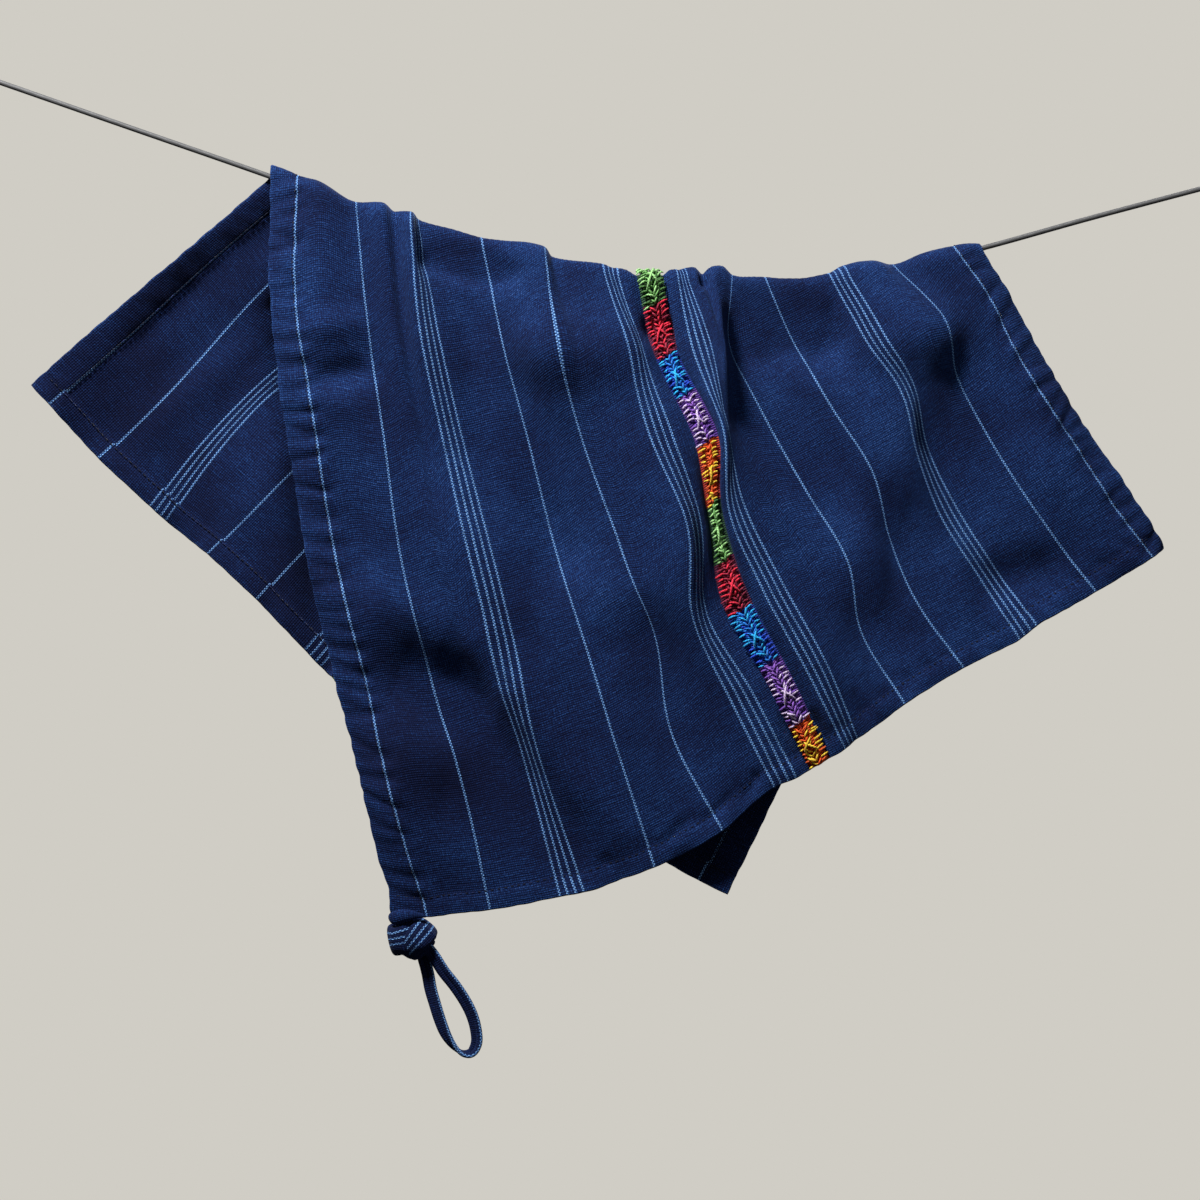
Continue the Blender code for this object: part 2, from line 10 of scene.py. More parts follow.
import bpy
import numpy as np
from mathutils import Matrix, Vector


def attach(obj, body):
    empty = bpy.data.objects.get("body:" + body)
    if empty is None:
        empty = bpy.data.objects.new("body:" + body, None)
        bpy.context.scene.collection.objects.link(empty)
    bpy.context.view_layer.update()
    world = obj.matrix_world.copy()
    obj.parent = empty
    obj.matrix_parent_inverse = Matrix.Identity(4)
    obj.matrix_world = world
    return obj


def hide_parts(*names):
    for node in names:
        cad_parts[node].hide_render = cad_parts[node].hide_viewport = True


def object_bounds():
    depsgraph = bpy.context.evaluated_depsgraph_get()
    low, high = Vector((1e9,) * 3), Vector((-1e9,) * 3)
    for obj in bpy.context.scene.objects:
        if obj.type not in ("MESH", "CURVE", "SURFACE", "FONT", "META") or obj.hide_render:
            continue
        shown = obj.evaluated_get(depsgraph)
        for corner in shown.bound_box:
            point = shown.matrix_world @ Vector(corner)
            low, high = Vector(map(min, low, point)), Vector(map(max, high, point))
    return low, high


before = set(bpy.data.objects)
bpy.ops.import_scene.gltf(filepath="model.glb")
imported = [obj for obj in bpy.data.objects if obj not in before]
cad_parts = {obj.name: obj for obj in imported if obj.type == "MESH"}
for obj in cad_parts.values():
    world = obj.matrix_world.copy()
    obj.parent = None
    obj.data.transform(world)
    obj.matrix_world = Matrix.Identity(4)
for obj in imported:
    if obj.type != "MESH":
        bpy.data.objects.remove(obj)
cad_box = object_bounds()

# The view: a long lens straight in front of the towel, which fills a square picture of 1200 steps a
# side. One step is 0.5734 mm on the plane of the line, and every fold below is placed in these steps.
STEP = 0.0005734
PICTURE_STEPS = 1200
ORIGIN_STEP = (-30.0, 71.946)
VIEW_DISTANCE = 2.2
SENSOR = 36.0
FARTHEST_SEEN = 30


def across(step):
    return (step - ORIGIN_STEP[0]) * STEP


def height(step):
    return (ORIGIN_STEP[1] - step) * STEP


camera = bpy.data.cameras.new("camera")
camera.sensor_width = SENSOR
camera.lens = SENSOR * VIEW_DISTANCE / (PICTURE_STEPS * STEP)
camera.clip_end = FARTHEST_SEEN
view = bpy.data.objects.new("camera", camera)
view.location = (across(PICTURE_STEPS / 2), -VIEW_DISTANCE, height(PICTURE_STEPS / 2))
view.rotation_euler = (math.radians(90), 0, 0)
bpy.context.scene.collection.objects.link(view)
bpy.context.scene.camera = view


# The two fittings that carry the line: a round steel plate with a short boss, sprayed with grey
# enamel and screwed to whatever they hang on. They keep the shape of their solids.
ENAMEL = "#8C8E90"
ENAMEL_SHADE = "#76787B"
ENAMEL_ORANGE_PEEL = 0.0012
ENAMEL_ROUGHNESS = 0.38


def linear(colour):
    """An sRGB hex colour as the linear red, green, blue and alpha that a socket takes."""
    parts = [int(colour[place:place + 2], 16) / 255 for place in (1, 3, 5)]
    return [v / 12.92 if v <= 0.04045 else ((v + 0.055) / 1.055) ** 2.4 for v in parts] + [1.0]


def add_node(tree, kind, settings=None, links=None, stops=()):
    """One node: settings are its own properties, links give its inputs a value or another's output.

    Stops are the places of a colour ramp, from 0 to 1, each with its hex colour.
    """
    node = tree.nodes.new(kind)
    for name, value in (settings or {}).items():
        setattr(node, name, value)
    for name, value in (links or {}).items():
        socket = node.inputs[name]
        if isinstance(value, bpy.types.NodeSocket):
            tree.links.new(value, socket)
        else:
            socket.default_value = value
    if stops:
        points = node.color_ramp.elements
        while len(points) < len(stops):
            points.new(1.0)
        for point, (place, colour) in zip(points, stops):
            point.position = place
            point.color = linear(colour)
    return node


def new_material(name, roughness, specular=0.5):
    """A material with its tree and its shader."""
    made = bpy.data.materials.new(name)
    made.use_nodes = True
    tree = made.node_tree
    shader = tree.nodes["Principled BSDF"]
    shader.inputs["Roughness"].default_value = roughness
    shader.inputs["Specular IOR Level"].default_value = specular
    return made, tree, shader


# Sprayed enamel: a smooth skin whose faint orange peel breaks up the highlight
enamel, tree, shader = new_material("sprayed_enamel", ENAMEL_ROUGHNESS)
place = add_node(tree, "ShaderNodeTexCoord").outputs["Object"]
peel = add_node(tree, "ShaderNodeTexNoise", links={
    "Vector": place, "Scale": 1 / ENAMEL_ORANGE_PEEL, "Detail": 2.0,
}).outputs["Fac"]
grey = add_node(tree, "ShaderNodeValToRGB", links={"Fac": peel}, stops=[(0.3, ENAMEL_SHADE), (0.7, ENAMEL)])
tree.links.new(grey.outputs["Color"], shader.inputs["Base Color"])
bump = add_node(tree, "ShaderNodeBump", links={"Height": peel, "Strength": 0.25, "Distance": 0.0002})
tree.links.new(bump.outputs["Normal"], shader.inputs["Normal"])
for fitting in ("left_anchor", "right_anchor"):
    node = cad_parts[fitting]
    node.data.materials.clear()
    node.data.materials.append(enamel)


# The line: a smooth grey coated cord, 3 mm thick, pulled taut between the fittings. It sags a little
# under the towel and ends in the bore of each boss.
LINE_RADIUS = 0.0015
LINE_SIDES = 16
LINE_RINGS = 260
LINE_GREY = "#4B4B4C"
LINE_GREY_LIGHT = "#5C5C5D"
LINE_GRAIN = 0.0009
LINE_ENDS = (0.00882, 0.713664)
LINE_COURSE = (
    (0, 82.4), (130, 127.7), (263, 174.0), (356, 207.5), (420, 228.0), (481, 244.5), (551, 262.0),
    (619, 276.0), (661, 281.5), (736, 285.0), (800, 284.0), (860, 276.5), (900, 268.5), (979, 249.0),
    (1090, 218.2), (1200, 189.0),
)


def shape_preserving(places, values, wanted):
    """A curve through values at rising places that never swings past them, so that each crest stays put."""
    places, values = np.asarray(places, float), np.asarray(values, float)
    width = np.diff(places)
    rise = np.diff(values, axis=0) / width.reshape((-1,) + (1,) * (values.ndim - 1))
    slope = np.zeros_like(values)
    slope[0], slope[-1] = rise[0], rise[-1]
    before, after = rise[:-1], rise[1:]
    same = before * after > 0
    weight_a = (2 * width[1:] + width[:-1]).reshape((-1,) + (1,) * (values.ndim - 1))
    weight_b = (width[1:] + 2 * width[:-1]).reshape(weight_a.shape)
    safe_before = np.where(same, before, 1.0)
    safe_after = np.where(same, after, 1.0)
    mean = (weight_a + weight_b) / (weight_a / safe_before + weight_b / safe_after)
    slope[1:-1] = np.where(same, mean, 0.0)
    wanted = np.asarray(wanted, float)
    index = np.clip(np.searchsorted(places, wanted, side="right") - 1, 0, len(places) - 2)
    shape = (-1,) + (1,) * (values.ndim - 1)
    span = width[index].reshape(shape)
    part = ((wanted - places[index]).reshape(shape)) / span
    return (
        (1 + 2 * part) * (1 - part) ** 2 * values[index]
        + part * (1 - part) ** 2 * span * slope[index]
        + part**2 * (3 - 2 * part) * values[index + 1]
        + part**2 * (part - 1) * span * slope[index + 1]
    )


def line_heights(xs):
    """The height of the line's middle at places across, straight on past the course's two ends."""
    course = np.array(LINE_COURSE, float)
    known_x, known_z = across(course[:, 0]), height(course[:, 1])
    slopes = np.diff(known_z) / np.diff(known_x)
    start, end = LINE_ENDS
    known_z = np.concatenate([
        [known_z[0] + (start - known_x[0]) * slopes[0]], known_z,
        [known_z[-1] + (end - known_x[-1]) * slopes[-1]],
    ])
    return shape_preserving(np.concatenate([[start], known_x, [end]]), known_z, np.atleast_1d(xs))


def unit(vectors):
    return vectors / np.linalg.norm(vectors, axis=-1, keepdims=True)


def swept_mesh(name, path, side, face, section, girth=None, closed=False):
    """A tube along a path: section holds its outline as (side, face) offsets, girth swells each ring.

    Its UV map holds metres: U round the outline from its first point, V along the path.
    """
    path, side, face = (np.asarray(rows, float) for rows in (path, side, face))
    section = np.asarray(section, float)
    count, corners = len(path), len(section)
    girth = np.ones((count, 2)) if girth is None else np.asarray(girth, float)
    offsets = section[None, :, :] * girth[:, None, :]
    rings = path[:, None] + side[:, None] * offsets[:, :, :1] + face[:, None] * offsets[:, :, 1:]
    steps = np.linalg.norm(np.diff(path, axis=0, append=path[:1]), axis=1)
    along = np.concatenate([[0], np.cumsum(steps)])
    edges = np.linalg.norm(np.roll(section, -1, axis=0) - section, axis=1)
    around = np.concatenate([[0], np.cumsum(edges)])
    faces, marks = [], []
    for ring in range(count if closed else count - 1):
        after = (ring + 1) % count
        for corner in range(corners):
            beside = (corner + 1) % corners
            faces.append((ring * corners + corner, ring * corners + beside,
                          after * corners + beside, after * corners + corner))
            left, right = around[corner], around[corner + 1]
            near, far = along[ring], along[ring + 1]
            marks += [(left, near), (right, near), (right, far), (left, far)]
    if not closed:
        for ends in (range(corners - 1, -1, -1), range((count - 1) * corners, count * corners)):
            faces.append(tuple(ends))
            marks += [(0.0, 0.0)] * corners
    mesh = bpy.data.meshes.new(name)
    mesh.from_pydata(rings.reshape(-1, 3).tolist(), [], faces)
    layer = mesh.uv_layers.new(name="cloth")
    layer.data.foreach_set("uv", np.array(marks, np.float32).ravel())
    if facing_in(mesh):
        mesh.flip_normals()
    mesh.shade_smooth()
    return mesh


def facing_in(mesh):
    """Whether a closed mesh's faces point inwards, from the sign of the volume that they enclose."""
    mesh.calc_loop_triangles()
    corners = np.empty(len(mesh.loop_triangles) * 3, np.int32)
    mesh.loop_triangles.foreach_get("vertices", corners)
    points = np.empty(len(mesh.vertices) * 3, np.float32)
    mesh.vertices.foreach_get("co", points)
    a, b, c = points.reshape(-1, 3)[corners.reshape(-1, 3)].astype(float).transpose(1, 0, 2)
    return np.einsum("ij,ij->i", a, np.cross(b, c)).sum() < 0


def add_piece(name, mesh, finish):
    made = bpy.data.objects.new(name, mesh)
    bpy.context.scene.collection.objects.link(made)
    if finish.name not in mesh.materials:
        mesh.materials.append(finish)
    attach(made, "root")
    return made


def oval(half_width, half_thickness, corners, power=2.0):
    """The outline of a rounded strap or cord: power 2 is an ellipse, and more is squarer."""
    turn = 2 * math.pi * (np.arange(corners) + 0.5) / corners
    bend = 2 / power
    wide = np.sign(np.cos(turn)) * np.abs(np.cos(turn)) ** bend
    thick = np.sign(np.sin(turn)) * np.abs(np.sin(turn)) ** bend
    return np.stack([half_width * wide, half_thickness * thick], axis=1)


# Coated cord: even and dull, with a fine grain from the die that drew its coat
coated, tree, shader = new_material("coated_cord", 0.55)
place = add_node(tree, "ShaderNodeUVMap", {"uv_map": "cloth"}).outputs["UV"]
stretched = add_node(tree, "ShaderNodeVectorMath", {"operation": "MULTIPLY"}, {
    0: place, 1: (1 / LINE_GRAIN, 0.15 / LINE_GRAIN, 1.0),
}).outputs["Vector"]
grain = add_node(tree, "ShaderNodeTexNoise", links={"Vector": stretched, "Scale": 1.0}).outputs["Fac"]
grey = add_node(tree, "ShaderNodeValToRGB", links={"Fac": grain}, stops=[
    (0.35, LINE_GREY), (0.65, LINE_GREY_LIGHT)])
tree.links.new(grey.outputs["Color"], shader.inputs["Base Color"])
bump = add_node(tree, "ShaderNodeBump", links={"Height": grain, "Strength": 0.3, "Distance": 0.0001})
tree.links.new(bump.outputs["Normal"], shader.inputs["Normal"])

line_x = np.linspace(*LINE_ENDS, LINE_RINGS)
line_path = np.stack([line_x, np.zeros(LINE_RINGS), line_heights(line_x)], axis=1)
line_forward = unit(np.gradient(line_path, axis=0))
line_side = np.tile([0.0, 1.0, 0.0], (LINE_RINGS, 1))
line_mesh = swept_mesh("line_cord", line_path, line_side, np.cross(line_forward, line_side),
                       oval(LINE_RADIUS, LINE_RADIUS, LINE_SIDES))
line = add_piece("line_cord", line_mesh, coated)
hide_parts("line")


# The two panels: handwoven cotton dyed indigo, with fine pale blue warp stripes, cut 244 by 610 mm and
# hemmed on three sides. They hang over the line, the long part in front, in the folds that the
# tables give: each row is one fold line, straight along the warp from the front hem to the back hem.
TOWEL_WIDTH = 0.500
TOWEL_LENGTH = 0.610
SEAM_CENTRE = 0.250
SEAM_WIDTH = 0.0112
SEAM_GAP = 0.0005
SIDE_HEM = 0.0165
END_HEM = 0.012
LINE_CLEARANCE = 0.0006
CLOTH_HALF = 0.0008
HEM_HALF = 0.0011

# A fold line in front: its place in the flat cloth in millimetres, the steps of its crest on the line
# and of its end at the hem, then at seven even heights from crest to hem its step across and how far
# it stands in front of the line in millimetres
Fold = namedtuple("Fold", "flat crest hem across forward")
FRONT = (
    Fold(0.0, 162, 914, (270, 270, 284, 303, 330, 362, 388), (3.0, 8, 9, 9, 7, 8, 5)),
    Fold(16.5, 174, 918, (298, 297, 316, 335, 364, 392, 426), (7.0, 13, 15, 11, 12, 14, 10)),
    Fold(30.0, 180, 915, (318, 322, 340, 359, 387, 418, 449), (9.0, 14, 13, 9, 11, 13, 11)),
    Fold(55.0, 202, 910, (356, 368, 385, 402, 431, 466, 491), (3.0, 9, 13, 11, 5, 10, 10)),
    Fold(76.0, 202, 903, (384, 396, 417, 439, 469, 503, 530), (9.0, 13, 12, 15, 3, 7, 9)),
    Fold(81.0, 210, 901, (392, 403, 424, 447, 477, 511, 539), (3.5, 10, 11, 16, 4, 6, 8)),
    Fold(93.0, 211, 896, (411, 421, 444, 470, 500, 531, 562), (14, 18, 13, 18, 9, 4.5, 7)),
    Fold(105.5, 218, 892, (417, 438, 464, 493, 521, 548, 585), (4.0, 15, 12, 16, 12, 5, 5)),
    Fold(125.0, 226, 879, (448, 471, 497, 524, 556, 586, 620), (3.0, 6, 9, 11, 14, 10, 4)),
    Fold(144.5, 236, 866, (481, 503, 530, 556, 589, 621, 655), (3.0, 6, 5, 4, 13, 14, 9)),
    Fold(183.5, 246, 830, (544, 557, 583, 618, 655, 671, 722), (10, 17, 11, 13, 11, 11, 12)),
    Fold(192.0, 256, 820, (550, 573, 598, 634, 663, 684, 734), (3.5, 14, 13, 16, 12, 10, 10)),
    Fold(221.5, 263, 787, (602, 626, 650, 686, 690, 730, 774), (4.0, 12, 18, 23, 18, 12, 10)),
    Fold(234.0, 269, 778, (616, 640, 672, 698, 702, 752, 796), (3.0, 7, 14, 12, 12, 9, 6)),
    Fold(250.0, 271, 765, (650, 666, 706, 716, 737, 780, 818), (4.0, 4, 9, 6, 8, 8, 8)),
    Fold(266.0, 270, 749, (676, 694, 723, 729, 763, 806, 845), (4.0, 11, 22, 14, 13, 13, 9)),
    Fold(278.5, 267, 738, (684, 711, 725, 742, 780, 823, 857), (6.0, 20, 20, 16, 16, 17, 8)),
    Fold(288.0, 266, 729, (694, 718, 728, 757, 796, 832, 869), (10, 23, 17, 15, 15, 15, 9)),
    Fold(293.0, 274, 725, (702, 721, 731, 766, 805, 837, 875), (3.5, 24, 15, 14, 14, 14, 10)),
    Fold(298.0, 266, 721, (710, 723, 734, 774, 814, 842, 881), (9.0, 24, 12, 12, 14, 13, 10)),
    Fold(306.0, 264, 714, (721, 726, 744, 786, 827, 849, 890), (6.0, 15, 8, 10, 14, 11, 10)),
    Fold(316.5, 273, 704, (732, 730, 764, 804, 846, 860, 904), (3.5, 8, 7, 9, 14, 9, 10)),
    Fold(335.0, 275, 686, (745, 761, 796, 838, 869, 888, 932), (3.0, 4, 7, 10, 15, 8, 10)),
    Fold(355.5, 276, 668, (764, 794, 830, 871, 888, 916, 962), (3.0, 7, 12, 15, 8, 8, 12)),
    Fold(375.0, 278, 654, (795, 828, 865, 896, 914, 947, 990), (3.0, 4, 14, 16, 8, 9, 10)),
    Fold(394.5, 272, 640, (828, 862, 900, 915, 940, 979, 1018), (4.0, 12, 17, 14, 8, 9, 10)),
    Fold(407.0, 265, 626, (842, 877, 911, 925, 954, 992, 1035), (8.0, 17, 15, 8, 7, 9, 10)),
    Fold(430.0, 260, 606, (872, 915, 938, 960, 991, 1029, 1071), (10, 21, 11, 7, 8, 9, 9)),
    Fold(445.0, 265, 592, (891, 940, 954, 982, 1015, 1053, 1095), (4.0, 17, 8, 6, 8, 8, 9)),
    Fold(465.0, 253, 575, (921, 965, 985, 1015, 1049, 1084, 1124), (7.0, 9, 6, 8, 12, 9, 8)),
    Fold(483.5, 245, 558, (952, 988, 1013, 1044, 1079, 1112, 1151), (8.0, 9, 11, 12, 11, 9, 9)),
    Fold(500.0, 242, 547, (979, 1011, 1038, 1067, 1099, 1132, 1166), (3.0, 5, 5, 6, 6, 6, 5)),
)

# Behind the line: the place in the flat cloth in millimetres, the step of the hem across and down,
# how far the middle bows to the right and how far it sways right, then left, in steps, and how far the
# cloth stands behind the line in millimetres at a third and two thirds of the way down and at the hem
BackFold = namedtuple("BackFold", "flat across down bow sway third two_thirds hem")
BACK = (
    BackFold(0.0, 28, 385, -2, 0, 4, 4, 3),
    BackFold(16.5, 49, 407, -3, -2, 8, 7, 5),
    BackFold(55.0, 97, 459, -7, -6, 10, 13, 9),
    BackFold(93.0, 149, 507, -5, 6, 13, 13, 8),
    BackFold(105.5, 164, 521, -4, 6, 13, 12, 8),
    BackFold(144.5, 206, 555, 5, -6, 6, 6, 6),
    BackFold(183.5, 256, 601, 4, -2, 11, 9, 5),
    BackFold(222.0, 305, 653, 3, 0, 7, 8, 7),
    BackFold(250.0, 338, 686, 4, 0, 6, 6, 6),
    BackFold(290.0, 400, 716, 5, 0, 14, 11, 6),
    BackFold(340.0, 477, 760, 6, 0, 6, 7, 8),
    BackFold(390.0, 555, 801, 8, 0, 11, 9, 5),
    BackFold(440.0, 632, 844, 12, 0, 12, 10, 7),
    BackFold(483.5, 700, 882, 16, -2, 7, 7, 5),
    BackFold(500.0, 728, 895, 18, -2, 4, 4, 4),
)
FRONT_STATIONS = 220
ARC_STATIONS = 26
BACK_STATIONS = 140
GRID_WIDE = 501
GRID_LONG = 611
SOFTENING = (1.3, 2.2)


def smooth_steps(values, places):
    """A Catmull-Rom curve through evenly spaced values, read at places from 0 to 1."""
    values = np.asarray(values, float)
    last = len(values) - 1
    padded = np.concatenate([[2 * values[0] - values[1]], values, [2 * values[-1] - values[-2]]])
    place = np.asarray(places) * last
    index = np.clip(place.astype(int), 0, last - 1)
    part = place - index
    before, start, end, after = (padded[index + offset] for offset in range(4))
    return 0.5 * (
        2 * start
        + (end - before) * part
        + (2 * before - 5 * start + 4 * end - after) * part**2
        + (3 * start - before - 3 * end + after) * part**3
    )


def fold_lines():
    """Each fold line as points from the front hem's edge, over the line, to the back hem's edge."""
    flats = [fold.flat / 1000 for fold in FRONT]
    back_flats = [fold.flat / 1000 for fold in BACK]
    back_values = [fold[1:] for fold in BACK]
    least = LINE_RADIUS + LINE_CLEARANCE + HEM_HALF
    lines = []
    for fold, flat in zip(FRONT, flats):
        crest_x = across(fold.across[0])
        axis_z = line_heights(crest_x)[0]
        rise = max(height(fold.crest) - CLOTH_HALF - axis_z, least)
        crest_z = axis_z + rise
        hem_z = height(fold.hem)
        reach = np.array(fold.forward) / 1000
        reach[0] = max(reach[0], least)

        down = np.linspace(1, 0, FRONT_STATIONS)
        first = rise / (crest_z - hem_z)
        heights = first + (1 - first) * down
        front = np.stack([
            across(smooth_steps(fold.across, heights)), -smooth_steps(reach, down),
            crest_z + (hem_z - crest_z) * heights,
        ], axis=1)

        values = shape_preserving(back_flats, back_values, [flat])[0]
        hem_across, hem_down, bow, sway, third, two_thirds, hem = values
        back_reach = np.array([reach[0] * 1000, third, two_thirds, hem]) / 1000
        back_top = np.array([crest_x, back_reach[0], axis_z])
        back_end = np.array([across(hem_across), back_reach[-1], height(hem_down)])
        down = np.linspace(0, 1, BACK_STATIONS)
        back = back_top + (back_end - back_top) * down[:, None]
        back[:, 0] += STEP * (bow * np.sin(math.pi * down) + sway * np.sin(2 * math.pi * down))
        back[:, 1] = smooth_steps(back_reach, down)

        turn = np.linspace(0, math.pi, ARC_STATIONS + 2)[1:-1]
        share = turn / math.pi
        start_x = front[-1, 0]
        arc_x = np.where(share < 0.5, start_x + (crest_x - start_x) * 2 * share, crest_x)
        arc = np.stack([arc_x, -reach[0] * np.cos(turn), axis_z + rise * np.sin(turn)], axis=1)
        lines.append(np.concatenate([front, arc, back]))
    return np.array(flats), np.array(lines)


def towel_grid():
    """The cloth's middle at every millimetre across and along the flat towel, from its front hem."""
    flats, lines = fold_lines()
    dense = shape_preserving(flats, lines, np.linspace(0, TOWEL_WIDTH, GRID_WIDE))
    grid = np.empty((GRID_WIDE, GRID_LONG, 3))
    for column, points in zip(grid, dense):
        along = np.concatenate([[0], np.cumsum(np.linalg.norm(np.diff(points, axis=0), axis=1))])
        wanted = np.linspace(0, along[-1], GRID_LONG)
        for axis in range(3):
            column[:, axis] = np.interp(wanted, along, points[:, axis])
    return grid


def blurred(grid, across_reach, along_reach):
    """A grid softened by a bell of that many cells each way, its edges held by reflection."""
    for axis, reach in ((0, across_reach), (1, along_reach)):
        span = int(3 * reach)
        bell = np.exp(-0.5 * (np.arange(-span, span + 1) / reach) ** 2)
        bell /= bell.sum()
        turned = np.moveaxis(grid, axis, 0)
        start = 2 * turned[:1] - turned[span:0:-1]
        end = 2 * turned[-1:] - turned[-2:-span - 2:-1]
        padded = np.concatenate([start, turned, end])
        soft = sum(weight * padded[place:place + len(turned)] for place, weight in enumerate(bell))
        grid = np.moveaxis(soft, 0, axis)
    return grid


def outward(grid):
    """The direction that the right side of the cloth faces, at each point of a grid."""
    return unit(np.cross(np.gradient(grid, axis=0), np.gradient(grid, axis=1)))


def on_cloth(grid, flat_across, flat_along):
    """A grid read between its points, at places across and along the flat towel in metres."""
    columns = np.clip(np.asarray(flat_across) / TOWEL_WIDTH * (GRID_WIDE - 1), 0, GRID_WIDE - 1.001)
    rows = np.clip(np.asarray(flat_along) / TOWEL_LENGTH * (GRID_LONG - 1), 0, GRID_LONG - 1.001)
    i, j = columns.astype(int), rows.astype(int)
    a, b = columns - i, rows - j
    if grid.ndim == 3:
        a, b = a[..., None], b[..., None]
    return ((1 - a) * (1 - b) * grid[i, j] + a * (1 - b) * grid[i + 1, j]
            + (1 - a) * b * grid[i, j + 1] + a * b * grid[i + 1, j + 1])


# Smaller folds and creases of the hanging cloth, on its front or its back part: from one step to
# another on the view, how wide in millimetres, and how far they rise off the right side of the cloth or,
# where less than nothing, sink into it
Crease = namedtuple("Crease", "part start end width height")
CREASES = (
    Crease("front", (308, 330), (366, 326), 9.0, 3.4),
    Crease("front", (312, 380), (376, 369), 8.5, -4.4),
    Crease("front", (342, 322), (372, 362), 3.0, -0.8),
    Crease("front", (352, 345), (375, 372), 2.4, 0.6),
    Crease("front", (312, 402), (366, 408), 9.0, 1.6),
    Crease("front", (348, 592), (478, 641), 20.0, 6.8),
    Crease("front", (482, 641), (614, 836), 15.0, 7.0),
    Crease("front", (374, 672), (472, 712), 22.0, -7.5),
    Crease("front", (472, 712), (548, 884), 17.0, -7.0),
    Crease("front", (420, 800), (520, 812), 26.0, -7.0),
    Crease("front", (416, 906), (560, 896), 36.0, -11.0),
    Crease("front", (516, 350), (640, 350), 20.0, 7.0),
    Crease("front", (566, 596), (690, 586), 22.0, 5.0),
    Crease("front", (545, 500), (578, 570), 8.0, -1.4),
    Crease("front", (430, 260), (512, 278), 8.0, -6.5),
    Crease("front", (640, 334), (668, 326), 8.0, -5.0),
    Crease("front", (740, 338), (836, 340), 15.0, -8.0),
    Crease("front", (850, 352), (944, 348), 17.0, 3.0),
    Crease("front", (838, 290), (812, 372), 4.0, -1.6),
    Crease("front", (980, 586), (1066, 566), 15.0, -7.0),
    Crease("front", (770, 738), (796, 760), 3.4, -1.0),
    Crease("front", (812, 716), (832, 738), 3.2, -0.9),
    Crease("front", (664, 842), (690, 816), 3.6, -1.5),
    Crease("front", (706, 822), (728, 796), 3.4, -1.4),
    Crease("front", (742, 800), (760, 772), 3.2, -1.5),
    Crease("front", (862, 712), (852, 690), 2.6, -0.9),
    Crease("front", (1112, 548), (1148, 572), 4.0, 0.8),
    Crease("front", (784, 716), (806, 766), 5.5, -3.0),
    Crease("front", (813, 712), (829, 750), 3.6, -2.4),
    Crease("front", (392, 214), (404, 244), 3.0, -1.2),
    Crease("front", (703, 270), (704, 288), 2.8, -3.4),
    Crease("front", (744, 300), (760, 380), 9.0, -2.4),
    Crease("back", (280, 310), (332, 668), 11.0, 13.0),
    Crease("back", (120, 352), (210, 268), 9.0, 1.6),
    Crease("back", (150, 430), (232, 352), 12.0, -2.4),
    Crease("back", (40, 420), (330, 690), 40.0, 7.0),
)

# Painted shade: patches where the towel's colour is darkened for shade that its folds don't give: the
# place on the view in steps, how far it reaches and how dark it is
ShadePatch = namedtuple("ShadePatch", "across down reach dark")
PAINTED_SHADE_PATCHES = (
    ShadePatch(425, 752, 84, 1.5),
    ShadePatch(500, 770, 46, 0.8),
    ShadePatch(536, 795, 34, 0.9),
    ShadePatch(566, 850, 30, 0.9),
    ShadePatch(473, 250, 26, 0.8),
    ShadePatch(465, 350, 48, 0.7),
    ShadePatch(368, 430, 44, 0.5),
    ShadePatch(812, 298, 36, 1.0),
    ShadePatch(620, 700, 60, 0.5),
    ShadePatch(612, 380, 40, 0.5),
    ShadePatch(320, 215, 40, 0.8),
    ShadePatch(110, 400, 60, 0.9),
    ShadePatch(290, 580, 50, 1.0),
)

# The pull of the hem's thread: short dents across the hem, deepest at the stitches, that draw the
# folded edge in a little. Cloth is rubbed pale along the folded edge, and painted shade darkens it in the
# dents. The lower left corner, where the strap is sewn in, is drawn in further
PUCKER_SPACING = 0.0096
PUCKER_WIDTH = 0.0032
PUCKER_DEPTH = 0.0028
PUCKER_FADE = 0.0050
BACK_PUCKERS = 0.18
END_PUCKERS = 0.5
MOST_DENT = 1.0
PUCKER_PULL = 0.0007
EDGE_HOLD = 0.4
EDGE_WEAR = 0.0016
DENT_SHADE = 0.8
CORNER_PULL = 0.0022
CORNER_PULL_UP = 0.014
CORNER_PULL_LONG = 0.010
CORNER_PULL_WIDE = 0.012

# The cloth is kept clear of the line and of the cloth behind it: how near the line's plane it may sink
# beside the line, and how much further it may go for each metre below it, and at most
SINK_TO = 0.0028
SINK_SLOPE = 0.09
MOST_PAST_LINE = 0.0035
LEAST_SINK = 0.0003

# The unevenness of handwoven cloth, broad and fine, as depths and as the millimetres that it reaches
UNEVEN_DEPTH = 0.00050
UNEVEN_REACH = (14, 22)
FINE_UNEVEN_DEPTH = 0.00014
FINE_UNEVEN_REACH = (4, 5)
SEED = 7

# The embroidery draws the two panels together: they swell beside it and sink under its edges
SEAM_SWELL = 0.0012
SEAM_SWELL_PLACE = 0.0135
SEAM_SWELL_REACH = 0.0060


def soft_field(draws, across_reach, along_reach):
    """An uneven field over the towel, even in strength, with bumps of that many millimetres."""
    field = blurred(draws.standard_normal((GRID_WIDE, GRID_LONG)), across_reach, along_reach)
    return field / field.std()


def dents(draws, along, distance):
    """How strongly the thread of a hem dents the cloth, at places along it and inside its edge."""
    depth = np.zeros_like(along)
    place = 0.0
    while place < along.max() + PUCKER_SPACING:
        lean = draws.uniform(-0.5, 0.2)
        width = PUCKER_WIDTH * draws.uniform(0.7, 1.2)
        depth += draws.uniform(0.3, 1.0) * np.exp(-(((along - place - lean * distance) / width) ** 2))
        place += PUCKER_SPACING * draws.uniform(0.5, 1.5)
    return MOST_DENT * np.tanh(depth / MOST_DENT)


